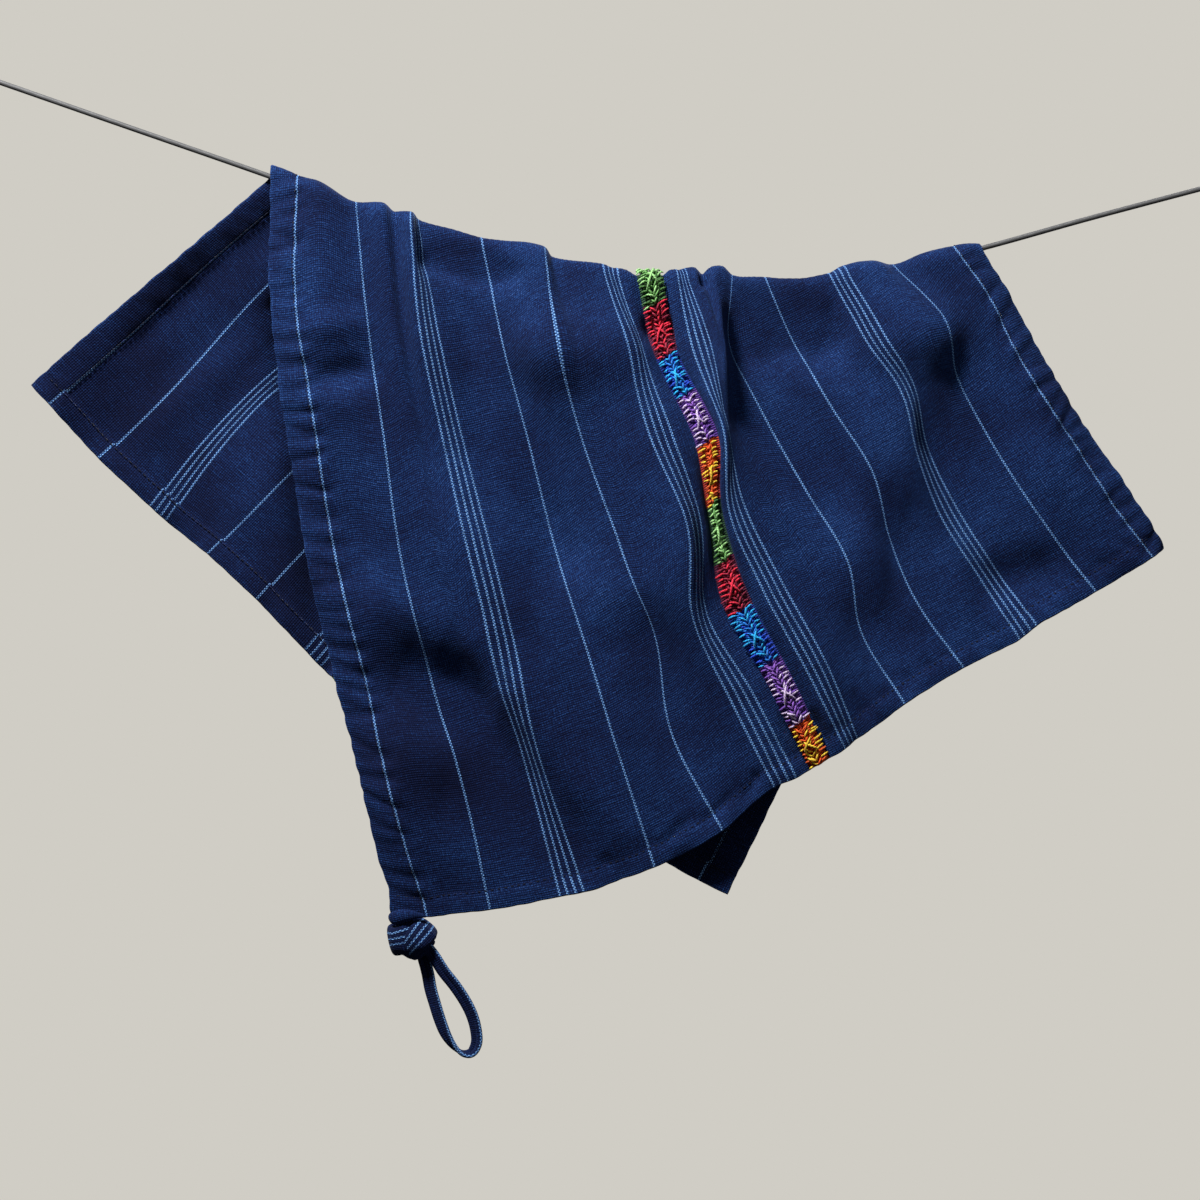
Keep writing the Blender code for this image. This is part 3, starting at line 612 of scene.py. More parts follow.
def view_steps(grid):
    """Where each point of a grid lies on the view."""
    return grid[..., 0] / STEP + ORIGIN_STEP[0], ORIGIN_STEP[1] - grid[..., 2] / STEP


def creased(grid):
    """How far the creases rise over the towel."""
    x, z = view_steps(grid)
    rise = np.zeros(x.shape)
    for crease in CREASES:
        start, run = np.array(crease.start, float), np.subtract(crease.end, crease.start)
        share = ((x - start[0]) * run[0] + (z - start[1]) * run[1]) / (run @ run)
        held = np.clip(share, 0, 1)
        away = np.hypot(x - start[0] - held * run[0], z - start[1] - held * run[1]) * STEP * 1000
        fade = np.clip(1.5 - np.abs(2 * np.clip(share, -0.5, 1.5) - 1), 0, 1)
        here = (grid[..., 1] < 0) == (crease.part == "front")
        rise += np.where(here, crease.height / 1000 * np.exp(-((away / crease.width) ** 2)) * fade, 0)
    return rise


def kept_clear(grid, rise):
    """The rise of the cloth, held back where it would sink into the line or the cloth behind it."""
    over_line = np.interp(grid[..., 0], line_path[:, 0], line_path[:, 2])
    below = np.clip(over_line - grid[..., 2], 0, None)
    past_line = np.minimum(SINK_SLOPE * below, MOST_PAST_LINE)
    room = np.maximum(np.abs(grid[..., 1]) - SINK_TO + past_line, LEAST_SINK)
    sink = np.clip(-rise, 0, None)
    return np.maximum(rise, 0) - sink / (1 + (sink / room) ** 4) ** 0.25


def finished_cloth(grid):
    """The towel with its unevenness, creases and puckered hems, and how far it is rubbed pale or darkened
    with painted shade.
    """
    draws = np.random.default_rng(SEED)
    u = np.linspace(0, TOWEL_WIDTH, GRID_WIDE)[:, None] * np.ones((1, GRID_LONG))
    v = np.linspace(0, TOWEL_LENGTH, GRID_LONG)[None, :] * np.ones((GRID_WIDE, 1))
    rise = creased(grid)
    rise += UNEVEN_DEPTH * soft_field(draws, *UNEVEN_REACH)
    rise += FINE_UNEVEN_DEPTH * soft_field(draws, *FINE_UNEVEN_REACH)
    beside = np.abs(u - SEAM_CENTRE)
    rise += SEAM_SWELL * np.exp(-(((beside - SEAM_SWELL_PLACE) / SEAM_SWELL_REACH) ** 2))
    sideways, lengthways = unit(np.gradient(grid, axis=0)), unit(np.gradient(grid, axis=1))
    wear_shade = np.zeros_like(u)
    drawn_in = np.zeros_like(grid)
    for along, distance, hem, inwards, strength in (
        (v, u, SIDE_HEM, sideways, 1), (v, TOWEL_WIDTH - u, SIDE_HEM, -sideways, 1),
        (u, v, END_HEM, lengthways, END_PUCKERS), (u, TOWEL_LENGTH - v, END_HEM, -lengthways, END_PUCKERS),
    ):
        dent = strength * dents(draws, along, distance)
        outside = np.exp(-(((distance - hem) / PUCKER_FADE) ** 2))
        hold = np.where(distance < hem, EDGE_HOLD + (1 - EDGE_HOLD) * distance / hem, outside)
        rise -= PUCKER_DEPTH * dent * hold * np.where(grid[..., 1] < 0, 1, BACK_PUCKERS)
        # Painted shade: the cloth is darkened in the dents of the hem
        wear_shade -= DENT_SHADE * dent * hold
        wear_shade += np.exp(-((distance / EDGE_WEAR) ** 2))
        drawn_in += inwards * (PUCKER_PULL * dent * np.exp(-((distance / PUCKER_FADE) ** 2)))[..., None]
    corner = np.exp(-(((v - CORNER_PULL_UP) / CORNER_PULL_LONG) ** 2) - (u / CORNER_PULL_WIDE) ** 2)
    drawn_in += sideways * (CORNER_PULL * corner)[..., None]
    x, z = view_steps(grid)
    # Painted shade: the patches darken the cloth's colour
    for shade_patch in PAINTED_SHADE_PATCHES:
        wear_shade -= shade_patch.dark * np.exp(-((x - shade_patch.across) ** 2 + (z - shade_patch.down) ** 2) / shade_patch.reach**2)
    return grid + drawn_in + outward(grid) * kept_clear(grid, rise)[..., None], wear_shade


GRID, WEAR_AND_SHADE = finished_cloth(blurred(towel_grid(), *SOFTENING))
OUT = outward(GRID)

# Where the pale warp stripes lie across the flat towel, in metres: single ones, and groups of four
STRIPE_GROUP_PITCH = 0.00417
STRIPES_IN_GROUP = 4
SINGLE_STRIPES = (0.0165, 0.055, 0.1445, 0.1835, 0.3165, 0.3555, 0.445, 0.4835)
GROUP_STARTS = (0.093, 0.2215, 0.266, 0.3945)
STRIPES = np.array(sorted(list(SINGLE_STRIPES) + [
    start + STRIPE_GROUP_PITCH * place for start in GROUP_STARTS for place in range(STRIPES_IN_GROUP)
]))
TURN_UP_SHIFT = 0.0013
# Painted shade: the wrong side of the cloth is darkened, most seen on the part behind the line
WRONG_SIDE_SHADE = -0.9
COVERED_REACH = 0.0022
COVERED_SHIFT = 0.0006
COLUMN_SPACING = 0.00205
ROW_SPACING = 0.0019
EDGE_ROUNDS = (0.0, 0.00025, 0.0006, 0.0010)
EDGE_RADIUS = 0.0010
STEP_HALF = 0.0004
CLOTH_RISE = 0.0008
CLOTH_DEPTH = 0.0001
HEM_RISE = 0.0010
HEM_DEPTH = 0.0007
HEM_PUFF = 0.0004
THINNEST_HALF = 0.00004
STITCH_INSET = 0.0010
STITCH_GROOVE = 0.00045
STITCH_GROOVE_WIDTH = 0.0009
SELVEDGE_DIP = 0.0024
SELVEDGE_DIP_WIDTH = 0.0030


def filled(places, spacing):
    """Rising places with more put between them, so that none lie further apart than the spacing."""
    places = np.unique(np.round(places, 6))
    rows = []
    for start, end in zip(places, places[1:]):
        rows.append(np.linspace(start, end, int(math.ceil((end - start) / spacing)) + 1)[:-1])
    return np.append(np.concatenate(rows), places[-1])


def edge_round(distance):
    """The share of its thickness that the cloth has at a distance from a folded edge."""
    return np.sqrt(np.clip(1 - (1 - np.clip(distance / EDGE_RADIUS, 0, 1)) ** 2, 0, 1))


def sheet_mesh(name, columns, rows, rise, depth):
    """A closed sheet over a patch of the towel, rise above the cloth's middle and depth below it."""
    u, v = np.meshgrid(columns, rows, indexing="ij")
    middle, normal = on_cloth(GRID, u, v), on_cloth(OUT, u, v)
    outer, inner = middle + normal * rise[..., None], middle - normal * depth[..., None]
    wide, long = u.shape
    count = wide * long
    index = np.arange(count).reshape(wide, long)
    a, b, c, d = index[:-1, :-1], index[1:, :-1], index[1:, 1:], index[:-1, 1:]
    top = np.stack([a, b, c, d], axis=-1).reshape(-1, 4)
    under = np.stack([a, d, c, b], axis=-1).reshape(-1, 4) + count
    ring = np.concatenate([index[:, 0], index[-1, 1:], index[-2::-1, -1], index[0, -2:0:-1]])
    after = np.roll(ring, -1)
    rim = np.stack([after, ring, ring + count, after + count], axis=-1)
    faces = np.concatenate([top, under, rim])
    points = np.concatenate([outer.reshape(-1, 3), inner.reshape(-1, 3)])
    mesh = bpy.data.meshes.new(name)
    mesh.from_pydata(points.tolist(), [], faces.tolist())

    flat = np.concatenate([np.stack([u, v], axis=-1).reshape(-1, 2)] * 2)
    corners = flat[faces]
    layer = mesh.uv_layers.new(name="cloth")
    layer.data.foreach_set("uv", corners.astype(np.float32).ravel())
    marks = corners.copy()
    turned_up = np.zeros(len(faces), bool)
    under_faces = slice(len(top), len(top) + len(under))
    end = np.minimum(corners[..., 1], TOWEL_LENGTH - corners[..., 1]).mean(axis=1)
    turned_up[under_faces] = end[under_faces] < END_HEM
    marks[turned_up, :, 0] += TURN_UP_SHIFT
    beside = np.minimum(corners[..., 0], TOWEL_WIDTH - corners[..., 0]).mean(axis=1)
    covered = np.zeros(len(faces), bool)
    covered[under_faces] = np.abs(beside[under_faces] - SIDE_HEM) < COVERED_REACH
    marks[covered, :, 0] += COVERED_SHIFT * np.where(corners[covered, :, 0] < TOWEL_WIDTH / 2, 1, -1)
    nearest = np.abs(marks[..., 0].mean(axis=1)[:, None] - STRIPES[None, :]).argmin(axis=1)
    marks[..., 0] -= STRIPES[nearest][:, None]
    layer = mesh.uv_layers.new(name="stripe")
    layer.data.foreach_set("uv", marks.astype(np.float32).ravel())
    wear_shade = on_cloth(WEAR_AND_SHADE, u, v)
    # The inner faces take the painted shade of the wrong side on top of the outer faces' wear and shade
    wear_and_painted_shade = np.concatenate([wear_shade.ravel(), (wear_shade + WRONG_SIDE_SHADE).ravel()])
    mesh.attributes.new("wear_and_painted_shade", "FLOAT", "POINT").data.foreach_set("value", wear_and_painted_shade.astype(np.float32))
    if facing_in(mesh):
        mesh.flip_normals()
    mesh.shade_smooth()
    return mesh


def edge_distances(u, v):
    """How far a place of the flat towel is from its nearer side and from its nearer end."""
    return np.minimum(u, TOWEL_WIDTH - u), np.minimum(v, TOWEL_LENGTH - v)


def panel_mesh(name, first, last, seam_edge):
    """One panel: plain cloth, its hems folded over to the wrong side and its selvedge at the seam."""
    stripes = STRIPES[(STRIPES > first) & (STRIPES < last)]
    midpoints = (stripes[1:] + stripes[:-1]) / 2
    turn = np.array(EDGE_ROUNDS)
    columns = [first + turn, last - turn, stripes, midpoints]
    columns += [[side - STEP_HALF, side + STEP_HALF] for side in (SIDE_HEM, TOWEL_WIDTH - SIDE_HEM)
                if first < side < last]
    columns = filled(np.concatenate(columns), COLUMN_SPACING)
    ends = [END_HEM - STEP_HALF, END_HEM + STEP_HALF]
    rows = filled(np.concatenate([
        turn, ends, TOWEL_LENGTH - np.array(ends), TOWEL_LENGTH - turn,
    ]), ROW_SPACING)
    u, v = np.meshgrid(columns, rows, indexing="ij")
    side, end = edge_distances(u, v)
    hemmed = (side < SIDE_HEM) | (end < END_HEM)
    inside = np.where(side < SIDE_HEM, side / SIDE_HEM, np.where(end < END_HEM, end / END_HEM, 0))
    puff = HEM_PUFF * np.sin(math.pi * np.clip(inside, 0, 1))
    groove = STITCH_GROOVE * (
        np.exp(-(((side - SIDE_HEM + STITCH_INSET) / STITCH_GROOVE_WIDTH) ** 2))
        + np.exp(-(((end - END_HEM + STITCH_INSET) / STITCH_GROOVE_WIDTH) ** 2))
    )
    rise = np.where(hemmed, HEM_RISE + puff, CLOTH_RISE) - groove
    depth = np.where(hemmed, HEM_DEPTH + puff - groove, CLOTH_DEPTH)
    from_seam = np.abs(u - seam_edge)
    dip = SELVEDGE_DIP * np.exp(-((from_seam / SELVEDGE_DIP_WIDTH) ** 2))
    centre, half = (rise - depth) / 2 - dip, (rise + depth) / 2
    half = half * edge_round(side) * edge_round(end) * np.sqrt(np.clip(edge_round(from_seam), 0, 1))
    half = np.maximum(half, THINNEST_HALF)
    return sheet_mesh(name, columns, rows, centre + half, half - centre)


# Handwoven cotton: plain weave of indigo yarn, ribbed by its weft, with slubs, pale flecks and uneven
# dye. Each pale stripe is two warp ends whose floats alternate, which gives a row of small beads.
# Threads lie 0.7 mm apart on the real cloth and are drawn nearly twice as coarse, so that they show
THREAD_PITCH = 0.00125
WEAVE_RELIEF = 0.00030
SLUB_LENGTH = 0.0105
SLUB_PITCH = 0.0014
FLECK_SIZE = 0.0011
FADE_SIZE = 0.045
BEAD_PITCH = 0.0018
BEAD_OFFSET = 0.00036
BEAD_CORE = 0.00028
BEAD_EDGE = 0.00072
STRIPE_HALF = 0.00052
THICK_WEFT_PLACE = 0.040
THICK_WEFT_RISE = 0.052
THICK_WEFT_APART = 0.0012
THICK_WEFT_CORE = 0.0002
THICK_WEFT_EDGE = 0.0007
NAVY_DARK = "#040B2C"
NAVY = "#0A1B45"
NAVY_WORN = "#17396F"
NAVY_FLECK = "#3F5C96"
STRIPE_BLUE = "#2A5AA4"
BEAD_BLUE = "#88B8EC"
SHEEN_BLUE = "#6E86C8"
WEAR_AND_SHADE_TONE = 0.055


def woven_cotton(name):
    made, tree, shader = new_material(name, 0.88, 0.15)
    shader.inputs["Sheen Weight"].default_value = 0.10
    shader.inputs["Sheen Roughness"].default_value = 0.5
    shader.inputs["Sheen Tint"].default_value = linear(SHEEN_BLUE)
    place = add_node(tree, "ShaderNodeUVMap", {"uv_map": "cloth"}).outputs["UV"]

    turns = add_node(tree, "ShaderNodeVectorMath", {"operation": "MULTIPLY"}, {
        0: place, 1: (math.pi / THREAD_PITCH, math.pi / THREAD_PITCH, 0.0)})
    waves = add_node(tree, "ShaderNodeVectorMath", {"operation": "SINE"}, {0: turns.outputs["Vector"]})
    wave = add_node(tree, "ShaderNodeSeparateXYZ", links={0: waves.outputs["Vector"]})
    crossing = add_node(tree, "ShaderNodeMath", {"operation": "MULTIPLY"}, {
        0: wave.outputs[0], 1: wave.outputs[1]})
    weave = add_node(tree, "ShaderNodeMath", {"operation": "ABSOLUTE"}, {0: crossing.outputs[0]}).outputs[0]

    slubs = []
    for stretch in ((1 / SLUB_LENGTH, 1 / SLUB_PITCH, 0.0), (1 / SLUB_PITCH, 1 / SLUB_LENGTH, 0.0)):
        drawn = add_node(tree, "ShaderNodeVectorMath", {"operation": "MULTIPLY"}, {0: place, 1: stretch})
        slubs.append(add_node(tree, "ShaderNodeTexNoise", links={
            "Vector": drawn.outputs["Vector"], "Scale": 1.0, "Detail": 3.0, "Roughness": 0.6,
        }).outputs["Fac"])
    fade = add_node(tree, "ShaderNodeTexNoise", links={
        "Vector": place, "Scale": 1 / FADE_SIZE, "Detail": 3.0}).outputs["Fac"]
    fleck = add_node(tree, "ShaderNodeTexNoise", links={
        "Vector": place, "Scale": 1 / FLECK_SIZE, "Detail": 1.0}).outputs["Fac"]

    tone = fade
    for share, field in ((0.50, slubs[0]), (0.18, slubs[1]), (0.40, fleck), (0.12, weave)):
        tone = add_node(tree, "ShaderNodeMix", {"data_type": "FLOAT"}, {
            0: share, 2: tone, 3: field}).outputs[0]
    # Wear pales the folded edges; painted shade darkens the hem's dents, the shade patches and the wrong
    # side
    wear_and_painted_shade = add_node(tree, "ShaderNodeAttribute", {"attribute_name": "wear_and_painted_shade"}).outputs["Fac"]
    tone = add_node(tree, "ShaderNodeMath", {"operation": "MULTIPLY_ADD"}, {
        0: wear_and_painted_shade, 1: WEAR_AND_SHADE_TONE, 2: tone}).outputs[0]
    cloth = add_node(tree, "ShaderNodeValToRGB", links={"Fac": tone}, stops=[
        (0.36, NAVY_DARK), (0.47, NAVY), (0.58, NAVY_WORN), (0.68, NAVY_FLECK)]).outputs["Color"]

    flat = add_node(tree, "ShaderNodeSeparateXYZ", links={0: place})
    thick_weft = add_node(tree, "ShaderNodeMath", {"operation": "MULTIPLY_ADD"}, {
        0: flat.outputs[0], 1: -THICK_WEFT_RISE, 2: flat.outputs[1]})
    above = thick_weft.outputs[0]
    for middle in (THICK_WEFT_PLACE, THICK_WEFT_APART):
        beyond = add_node(tree, "ShaderNodeMath", {"operation": "SUBTRACT"}, {0: above, 1: middle})
        above = add_node(tree, "ShaderNodeMath", {"operation": "ABSOLUTE"}, {
            0: beyond.outputs[0]}).outputs[0]
    weft = add_node(tree, "ShaderNodeMapRange", {"interpolation_type": "SMOOTHSTEP"}, {
        0: above, 1: THICK_WEFT_CORE, 2: THICK_WEFT_EDGE, 3: 0.55, 4: 0.0}).outputs[0]
    weft = add_node(tree, "ShaderNodeMath", {"operation": "MULTIPLY"}, {0: weft, 1: slubs[0]}).outputs[0]
    cloth = add_node(tree, "ShaderNodeMix", {"data_type": "RGBA"}, {
        0: weft, 6: cloth, 7: linear(NAVY_DARK)}).outputs[2]

    stripe_place = add_node(tree, "ShaderNodeUVMap", {"uv_map": "stripe"}).outputs["UV"]
    mark = add_node(tree, "ShaderNodeSeparateXYZ", links={0: stripe_place})
    away = add_node(tree, "ShaderNodeMath", {"operation": "ABSOLUTE"}, {0: mark.outputs[0]}).outputs[0]
    stripe = add_node(tree, "ShaderNodeMapRange", {"interpolation_type": "SMOOTHSTEP"}, {
        0: away, 1: STRIPE_HALF * 1.2, 2: STRIPE_HALF * 0.6, 3: 0.0, 4: 0.75}).outputs[0]
    right = add_node(tree, "ShaderNodeMath", {"operation": "GREATER_THAN"}, {0: mark.outputs[0], 1: 0.0})
    half_turn = add_node(tree, "ShaderNodeMath", {"operation": "MULTIPLY"}, {
        0: right.outputs[0], 1: 0.5}).outputs[0]
    beads = add_node(tree, "ShaderNodeMath", {"operation": "MULTIPLY_ADD"}, {
        0: mark.outputs[1], 1: 1 / BEAD_PITCH, 2: half_turn}).outputs[0]
    phase = add_node(tree, "ShaderNodeMath", {"operation": "FRACT"}, {0: beads}).outputs[0]
    along = add_node(tree, "ShaderNodeMath", {"operation": "MULTIPLY_ADD"}, {
        0: phase, 1: BEAD_PITCH, 2: -BEAD_PITCH / 2})
    beside = add_node(tree, "ShaderNodeMath", {"operation": "SUBTRACT"}, {0: away, 1: BEAD_OFFSET})
    offset = add_node(tree, "ShaderNodeCombineXYZ", links={0: beside.outputs[0], 1: along.outputs[0]})
    squeezed = add_node(tree, "ShaderNodeVectorMath", {"operation": "MULTIPLY"}, {
        0: offset.outputs["Vector"], 1: (1.5, 1.0, 1.0)})
    from_bead = add_node(tree, "ShaderNodeVectorMath", {"operation": "LENGTH"}, {
        0: squeezed.outputs["Vector"]})
    bead = add_node(tree, "ShaderNodeMapRange", {"interpolation_type": "SMOOTHSTEP"}, {
        0: from_bead.outputs["Value"], 1: BEAD_EDGE, 2: BEAD_CORE, 3: 0.0, 4: 1.0}).outputs[0]
    blue = add_node(tree, "ShaderNodeMix", {"data_type": "RGBA"}, {
        0: bead, 6: linear(STRIPE_BLUE), 7: linear(BEAD_BLUE)}).outputs[2]
    worn = add_node(tree, "ShaderNodeMapRange", links={
        0: slubs[1], 1: 0.30, 2: 0.55, 3: 0.45, 4: 1.0}).outputs[0]
    cover = add_node(tree, "ShaderNodeMath", {"operation": "MAXIMUM"}, {0: stripe, 1: bead}).outputs[0]
    shown = add_node(tree, "ShaderNodeMath", {"operation": "MULTIPLY"}, {0: cover, 1: worn}).outputs[0]
    colour = add_node(tree, "ShaderNodeMix", {"data_type": "RGBA"}, {0: shown, 6: cloth, 7: blue})
    tree.links.new(colour.outputs[2], shader.inputs["Base Color"])

    ribbed = add_node(tree, "ShaderNodeMath", {"operation": "MULTIPLY_ADD"}, {
        0: slubs[0], 1: 1.4, 2: weave}).outputs[0]
    raised = add_node(tree, "ShaderNodeMath", {"operation": "ADD"}, {0: bead, 1: ribbed}).outputs[0]
    bump = add_node(tree, "ShaderNodeBump", links={
        "Height": raised, "Strength": 0.9, "Distance": WEAVE_RELIEF})
    tree.links.new(bump.outputs["Normal"], shader.inputs["Normal"])
    return made


cotton = woven_cotton("handwoven_indigo_cotton")
half_seam = SEAM_WIDTH / 2 + SEAM_GAP
left_edge, right_edge = SEAM_CENTRE - half_seam, SEAM_CENTRE + half_seam
left_cloth = add_piece("left_cloth", panel_mesh("left_cloth", 0.0, left_edge, left_edge),
                       cotton)
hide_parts("left_panel")
right_cloth = add_piece("right_cloth", panel_mesh("right_cloth", right_edge, TOWEL_WIDTH, right_edge),
                        cotton)
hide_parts("right_panel")


# The hems are sewn down with a fine dark blue thread, a running stitch a little inside each fold, that
# shows on both sides of the cloth.
HEM_STITCH = 0.0026
HEM_STITCH_GAP = 0.0010
HEM_THREAD = 0.00026
HEM_THREAD_BLUE = "#0C1230"
HEM_THREAD_WORN = "#26356E"
STITCH_SINK = 0.0003
WORN_STITCHES = 0.2
SIDE_ROW_START = 0.2
END_ROW_START = 0.003

# A running stitch on the right side and on the wrong side: its ends' lift off the cloth's middle, the
# rise of its arch, and how far along the row it starts, in stitches
STITCH_SIDES = ((0.0007, 0.00042, 0.0), (-0.0008, -0.00036, 0.5))

Stitch = namedtuple("Stitch", "points colour girth")


def on_right_side(path_across, path_along, lift):
    """Points over the right side of the cloth, lifted off its middle."""
    return on_cloth(GRID, path_across, path_along) + on_cloth(OUT, path_across, path_along) * lift[:, None]


def stitch(start, end, lift, rise, colour, girth=1.0, points=5, bend=0.0):
    """A stitch between two places on the flat towel: it leaves the cloth, arches over and goes back."""
    share = np.linspace(0, 1, points)
    arch = np.sin(math.pi * share)
    run = np.array(end) - np.array(start)
    u = start[0] + run[0] * share - run[1] * bend * arch
    v = start[1] + run[1] * share + run[0] * bend * arch
    return Stitch(on_right_side(u, v, lift - STITCH_SINK + (rise + STITCH_SINK) * arch**0.6), colour, girth)


def sewn_yarn_tree():
    """A tree that turns the middle of each stitch into a round yarn."""
    tree = bpy.data.node_groups.new("sewn_yarn", "GeometryNodeTree")
    face = tree.interface
    face.new_socket("Geometry", in_out="INPUT", socket_type="NodeSocketGeometry")
    face.new_socket("Yarn Radius", in_out="INPUT", socket_type="NodeSocketFloat")
    face.new_socket("Yarn Sides", in_out="INPUT", socket_type="NodeSocketInt")
    face.new_socket("Yarn Finish", in_out="INPUT", socket_type="NodeSocketMaterial")
    face.new_socket("Geometry", in_out="OUTPUT", socket_type="NodeSocketGeometry")
    given = add_node(tree, "NodeGroupInput").outputs
    curve = add_node(tree, "GeometryNodeMeshToCurve", links={"Mesh": given["Geometry"]})
    length = add_node(tree, "GeometryNodeSplineParameter").outputs["Length"]
    marked = add_node(tree, "GeometryNodeStoreNamedAttribute", {"data_type": "FLOAT", "domain": "POINT"}, {
        "Geometry": curve.outputs["Curve"], "Name": "along", "Value": length})
    ring = add_node(tree, "GeometryNodeCurvePrimitiveCircle", links={
        "Resolution": given["Yarn Sides"], "Radius": given["Yarn Radius"]})
    factor = add_node(tree, "GeometryNodeSplineParameter").outputs["Factor"]
    turned = add_node(tree, "GeometryNodeStoreNamedAttribute", {"data_type": "FLOAT", "domain": "POINT"}, {
        "Geometry": ring.outputs["Curve"], "Name": "around", "Value": factor})
    girth = add_node(tree, "GeometryNodeInputNamedAttribute", {"data_type": "FLOAT"}, {"Name": "girth"})
    tube = add_node(tree, "GeometryNodeCurveToMesh", links={
        "Curve": marked.outputs["Geometry"], "Profile Curve": turned.outputs["Geometry"],
        "Scale": girth.outputs["Attribute"], "Fill Caps": True})
    smooth = add_node(tree, "GeometryNodeSetShadeSmooth", links={"Geometry": tube.outputs["Mesh"]})
    real = add_node(tree, "GeometryNodeRealizeInstances", links={"Geometry": smooth.outputs["Geometry"]})
    made = add_node(tree, "GeometryNodeSetMaterial", links={
        "Geometry": real.outputs["Geometry"], "Material": given["Yarn Finish"]})
    add_node(tree, "NodeGroupOutput", links={"Geometry": made.outputs["Geometry"]})
    return tree


SEWN_YARN = sewn_yarn_tree()


def sewn_yarn(name, stitches, radius, sides, finish):
    """A piece made of yarn: every stitch is a tube with tapered ends, in its own colour."""
    points = np.concatenate([one.points for one in stitches])
    starts = np.cumsum([0] + [len(one.points) for one in stitches])
    edges = [(place, place + 1) for a, b in zip(starts, starts[1:]) for place in range(a, b - 1)]
    guide = bpy.data.meshes.new(name)
    guide.from_pydata(points.tolist(), edges, [])
    colours = np.concatenate([[one.colour] * len(one.points) for one in stitches])
    guide.attributes.new("yarn_colour", "FLOAT_COLOR", "POINT").data.foreach_set(
        "color", colours.astype(np.float32).ravel())
    taper = [one.girth * (0.55 + 0.45 * np.sin(math.pi * np.linspace(0, 1, len(one.points))) ** 0.4)
             for one in stitches]
    guide.attributes.new("girth", "FLOAT", "POINT").data.foreach_set(
        "value", np.concatenate(taper).astype(np.float32))
    made = bpy.data.objects.new(name, guide)
    bpy.context.scene.collection.objects.link(made)
    modifier = made.modifiers.new("yarn", "NODES")
    modifier.node_group = SEWN_YARN
    sockets = {
        item.name: item.identifier for item in SEWN_YARN.interface.items_tree if item.in_out == "INPUT"
    }
    modifier[sockets["Yarn Radius"]] = radius
    modifier[sockets["Yarn Sides"]] = sides
    modifier[sockets["Yarn Finish"]] = finish
    graph = bpy.context.evaluated_depsgraph_get()
    mesh = bpy.data.meshes.new_from_object(made.evaluated_get(graph))
    bpy.data.objects.remove(made)
    bpy.data.meshes.remove(guide)
    mesh.name = name
    return add_piece(name, mesh, finish)


# Cotton yarn: two plies twisted together, seen as slanting strands, with painted shade in the grooves
# between them
PLY_PITCH = 0.0017
PLIES = 2


def plied_yarn(name, roughness):
    made, tree, shader = new_material(name, roughness, 0.3)
    shader.inputs["Sheen Weight"].default_value = 0.15
    shader.inputs["Sheen Roughness"].default_value = 0.4
    dyed = add_node(tree, "ShaderNodeAttribute", {"attribute_name": "yarn_colour"}).outputs["Color"]
    along = add_node(tree, "ShaderNodeAttribute", {"attribute_name": "along"}).outputs["Fac"]
    around = add_node(tree, "ShaderNodeAttribute", {"attribute_name": "around"}).outputs["Fac"]
    advance = add_node(tree, "ShaderNodeMath", {"operation": "MULTIPLY"}, {
        0: along, 1: 2 * math.pi / PLY_PITCH})
    angle = add_node(tree, "ShaderNodeMath", {"operation": "MULTIPLY_ADD"}, {
        0: around, 1: 2 * math.pi * PLIES, 2: advance.outputs[0]})
    twist = add_node(tree, "ShaderNodeMath", {"operation": "SINE"}, {0: angle.outputs[0]}).outputs[0]
    # Painted shade: the yarn's colour is darkened along the grooves between the plies
    shade = add_node(tree, "ShaderNodeMapRange", links={
        0: twist, 1: -1.0, 2: 0.4, 3: 0.62, 4: 1.0}).outputs[0]
    grey = add_node(tree, "ShaderNodeCombineColor", links={0: shade, 1: shade, 2: shade}).outputs[0]
    colour = add_node(tree, "ShaderNodeMix", {"data_type": "RGBA", "blend_type": "MULTIPLY"}, {
        0: 1.0, 6: dyed, 7: grey})
    tree.links.new(colour.outputs[2], shader.inputs["Base Color"])
    bump = add_node(tree, "ShaderNodeBump", links={"Height": twist, "Strength": 0.6, "Distance": 0.00012})
    tree.links.new(bump.outputs["Normal"], shader.inputs["Normal"])
    return made


yarn = plied_yarn("plied_cotton_yarn", 0.68)


def hem_stitches(first, last, side_hem):
    """The running stitches of one panel's three hems, on the right side and on the wrong side."""
    draws = np.random.default_rng(SEED + 1)
    pitch = HEM_STITCH + HEM_STITCH_GAP
    low, high = SIDE_HEM * SIDE_ROW_START, TOWEL_LENGTH - SIDE_HEM * SIDE_ROW_START
    rows = [((side_hem, low), (side_hem, high))]
    for end in (END_HEM - STITCH_INSET, TOWEL_LENGTH - END_HEM + STITCH_INSET):
        rows.append(((first + END_ROW_START, end), (last - END_ROW_START, end)))
    made = []
    for start, end in rows:
        start, end = np.array(start), np.array(end)
        count = int(np.linalg.norm(end - start) / pitch)
        for lift, rise, shift in STITCH_SIDES:
            for place in range(count):
                a = start + (end - start) * (place + shift) / count
                b = a + (end - start) / count * HEM_STITCH / pitch
                colour = linear(HEM_THREAD_WORN if draws.random() < WORN_STITCHES else HEM_THREAD_BLUE)
                made.append(stitch(a, b, lift, rise, colour, points=4))
    return made


left_stitches = sewn_yarn("left_hem_stitches", hem_stitches(0.0, left_edge, SIDE_HEM - STITCH_INSET),
                          HEM_THREAD, 5, yarn)
right_stitches = sewn_yarn("right_hem_stitches",
                           hem_stitches(right_edge, TOWEL_WIDTH, TOWEL_WIDTH - SIDE_HEM + STITCH_INSET),
                           HEM_THREAD, 5, yarn)


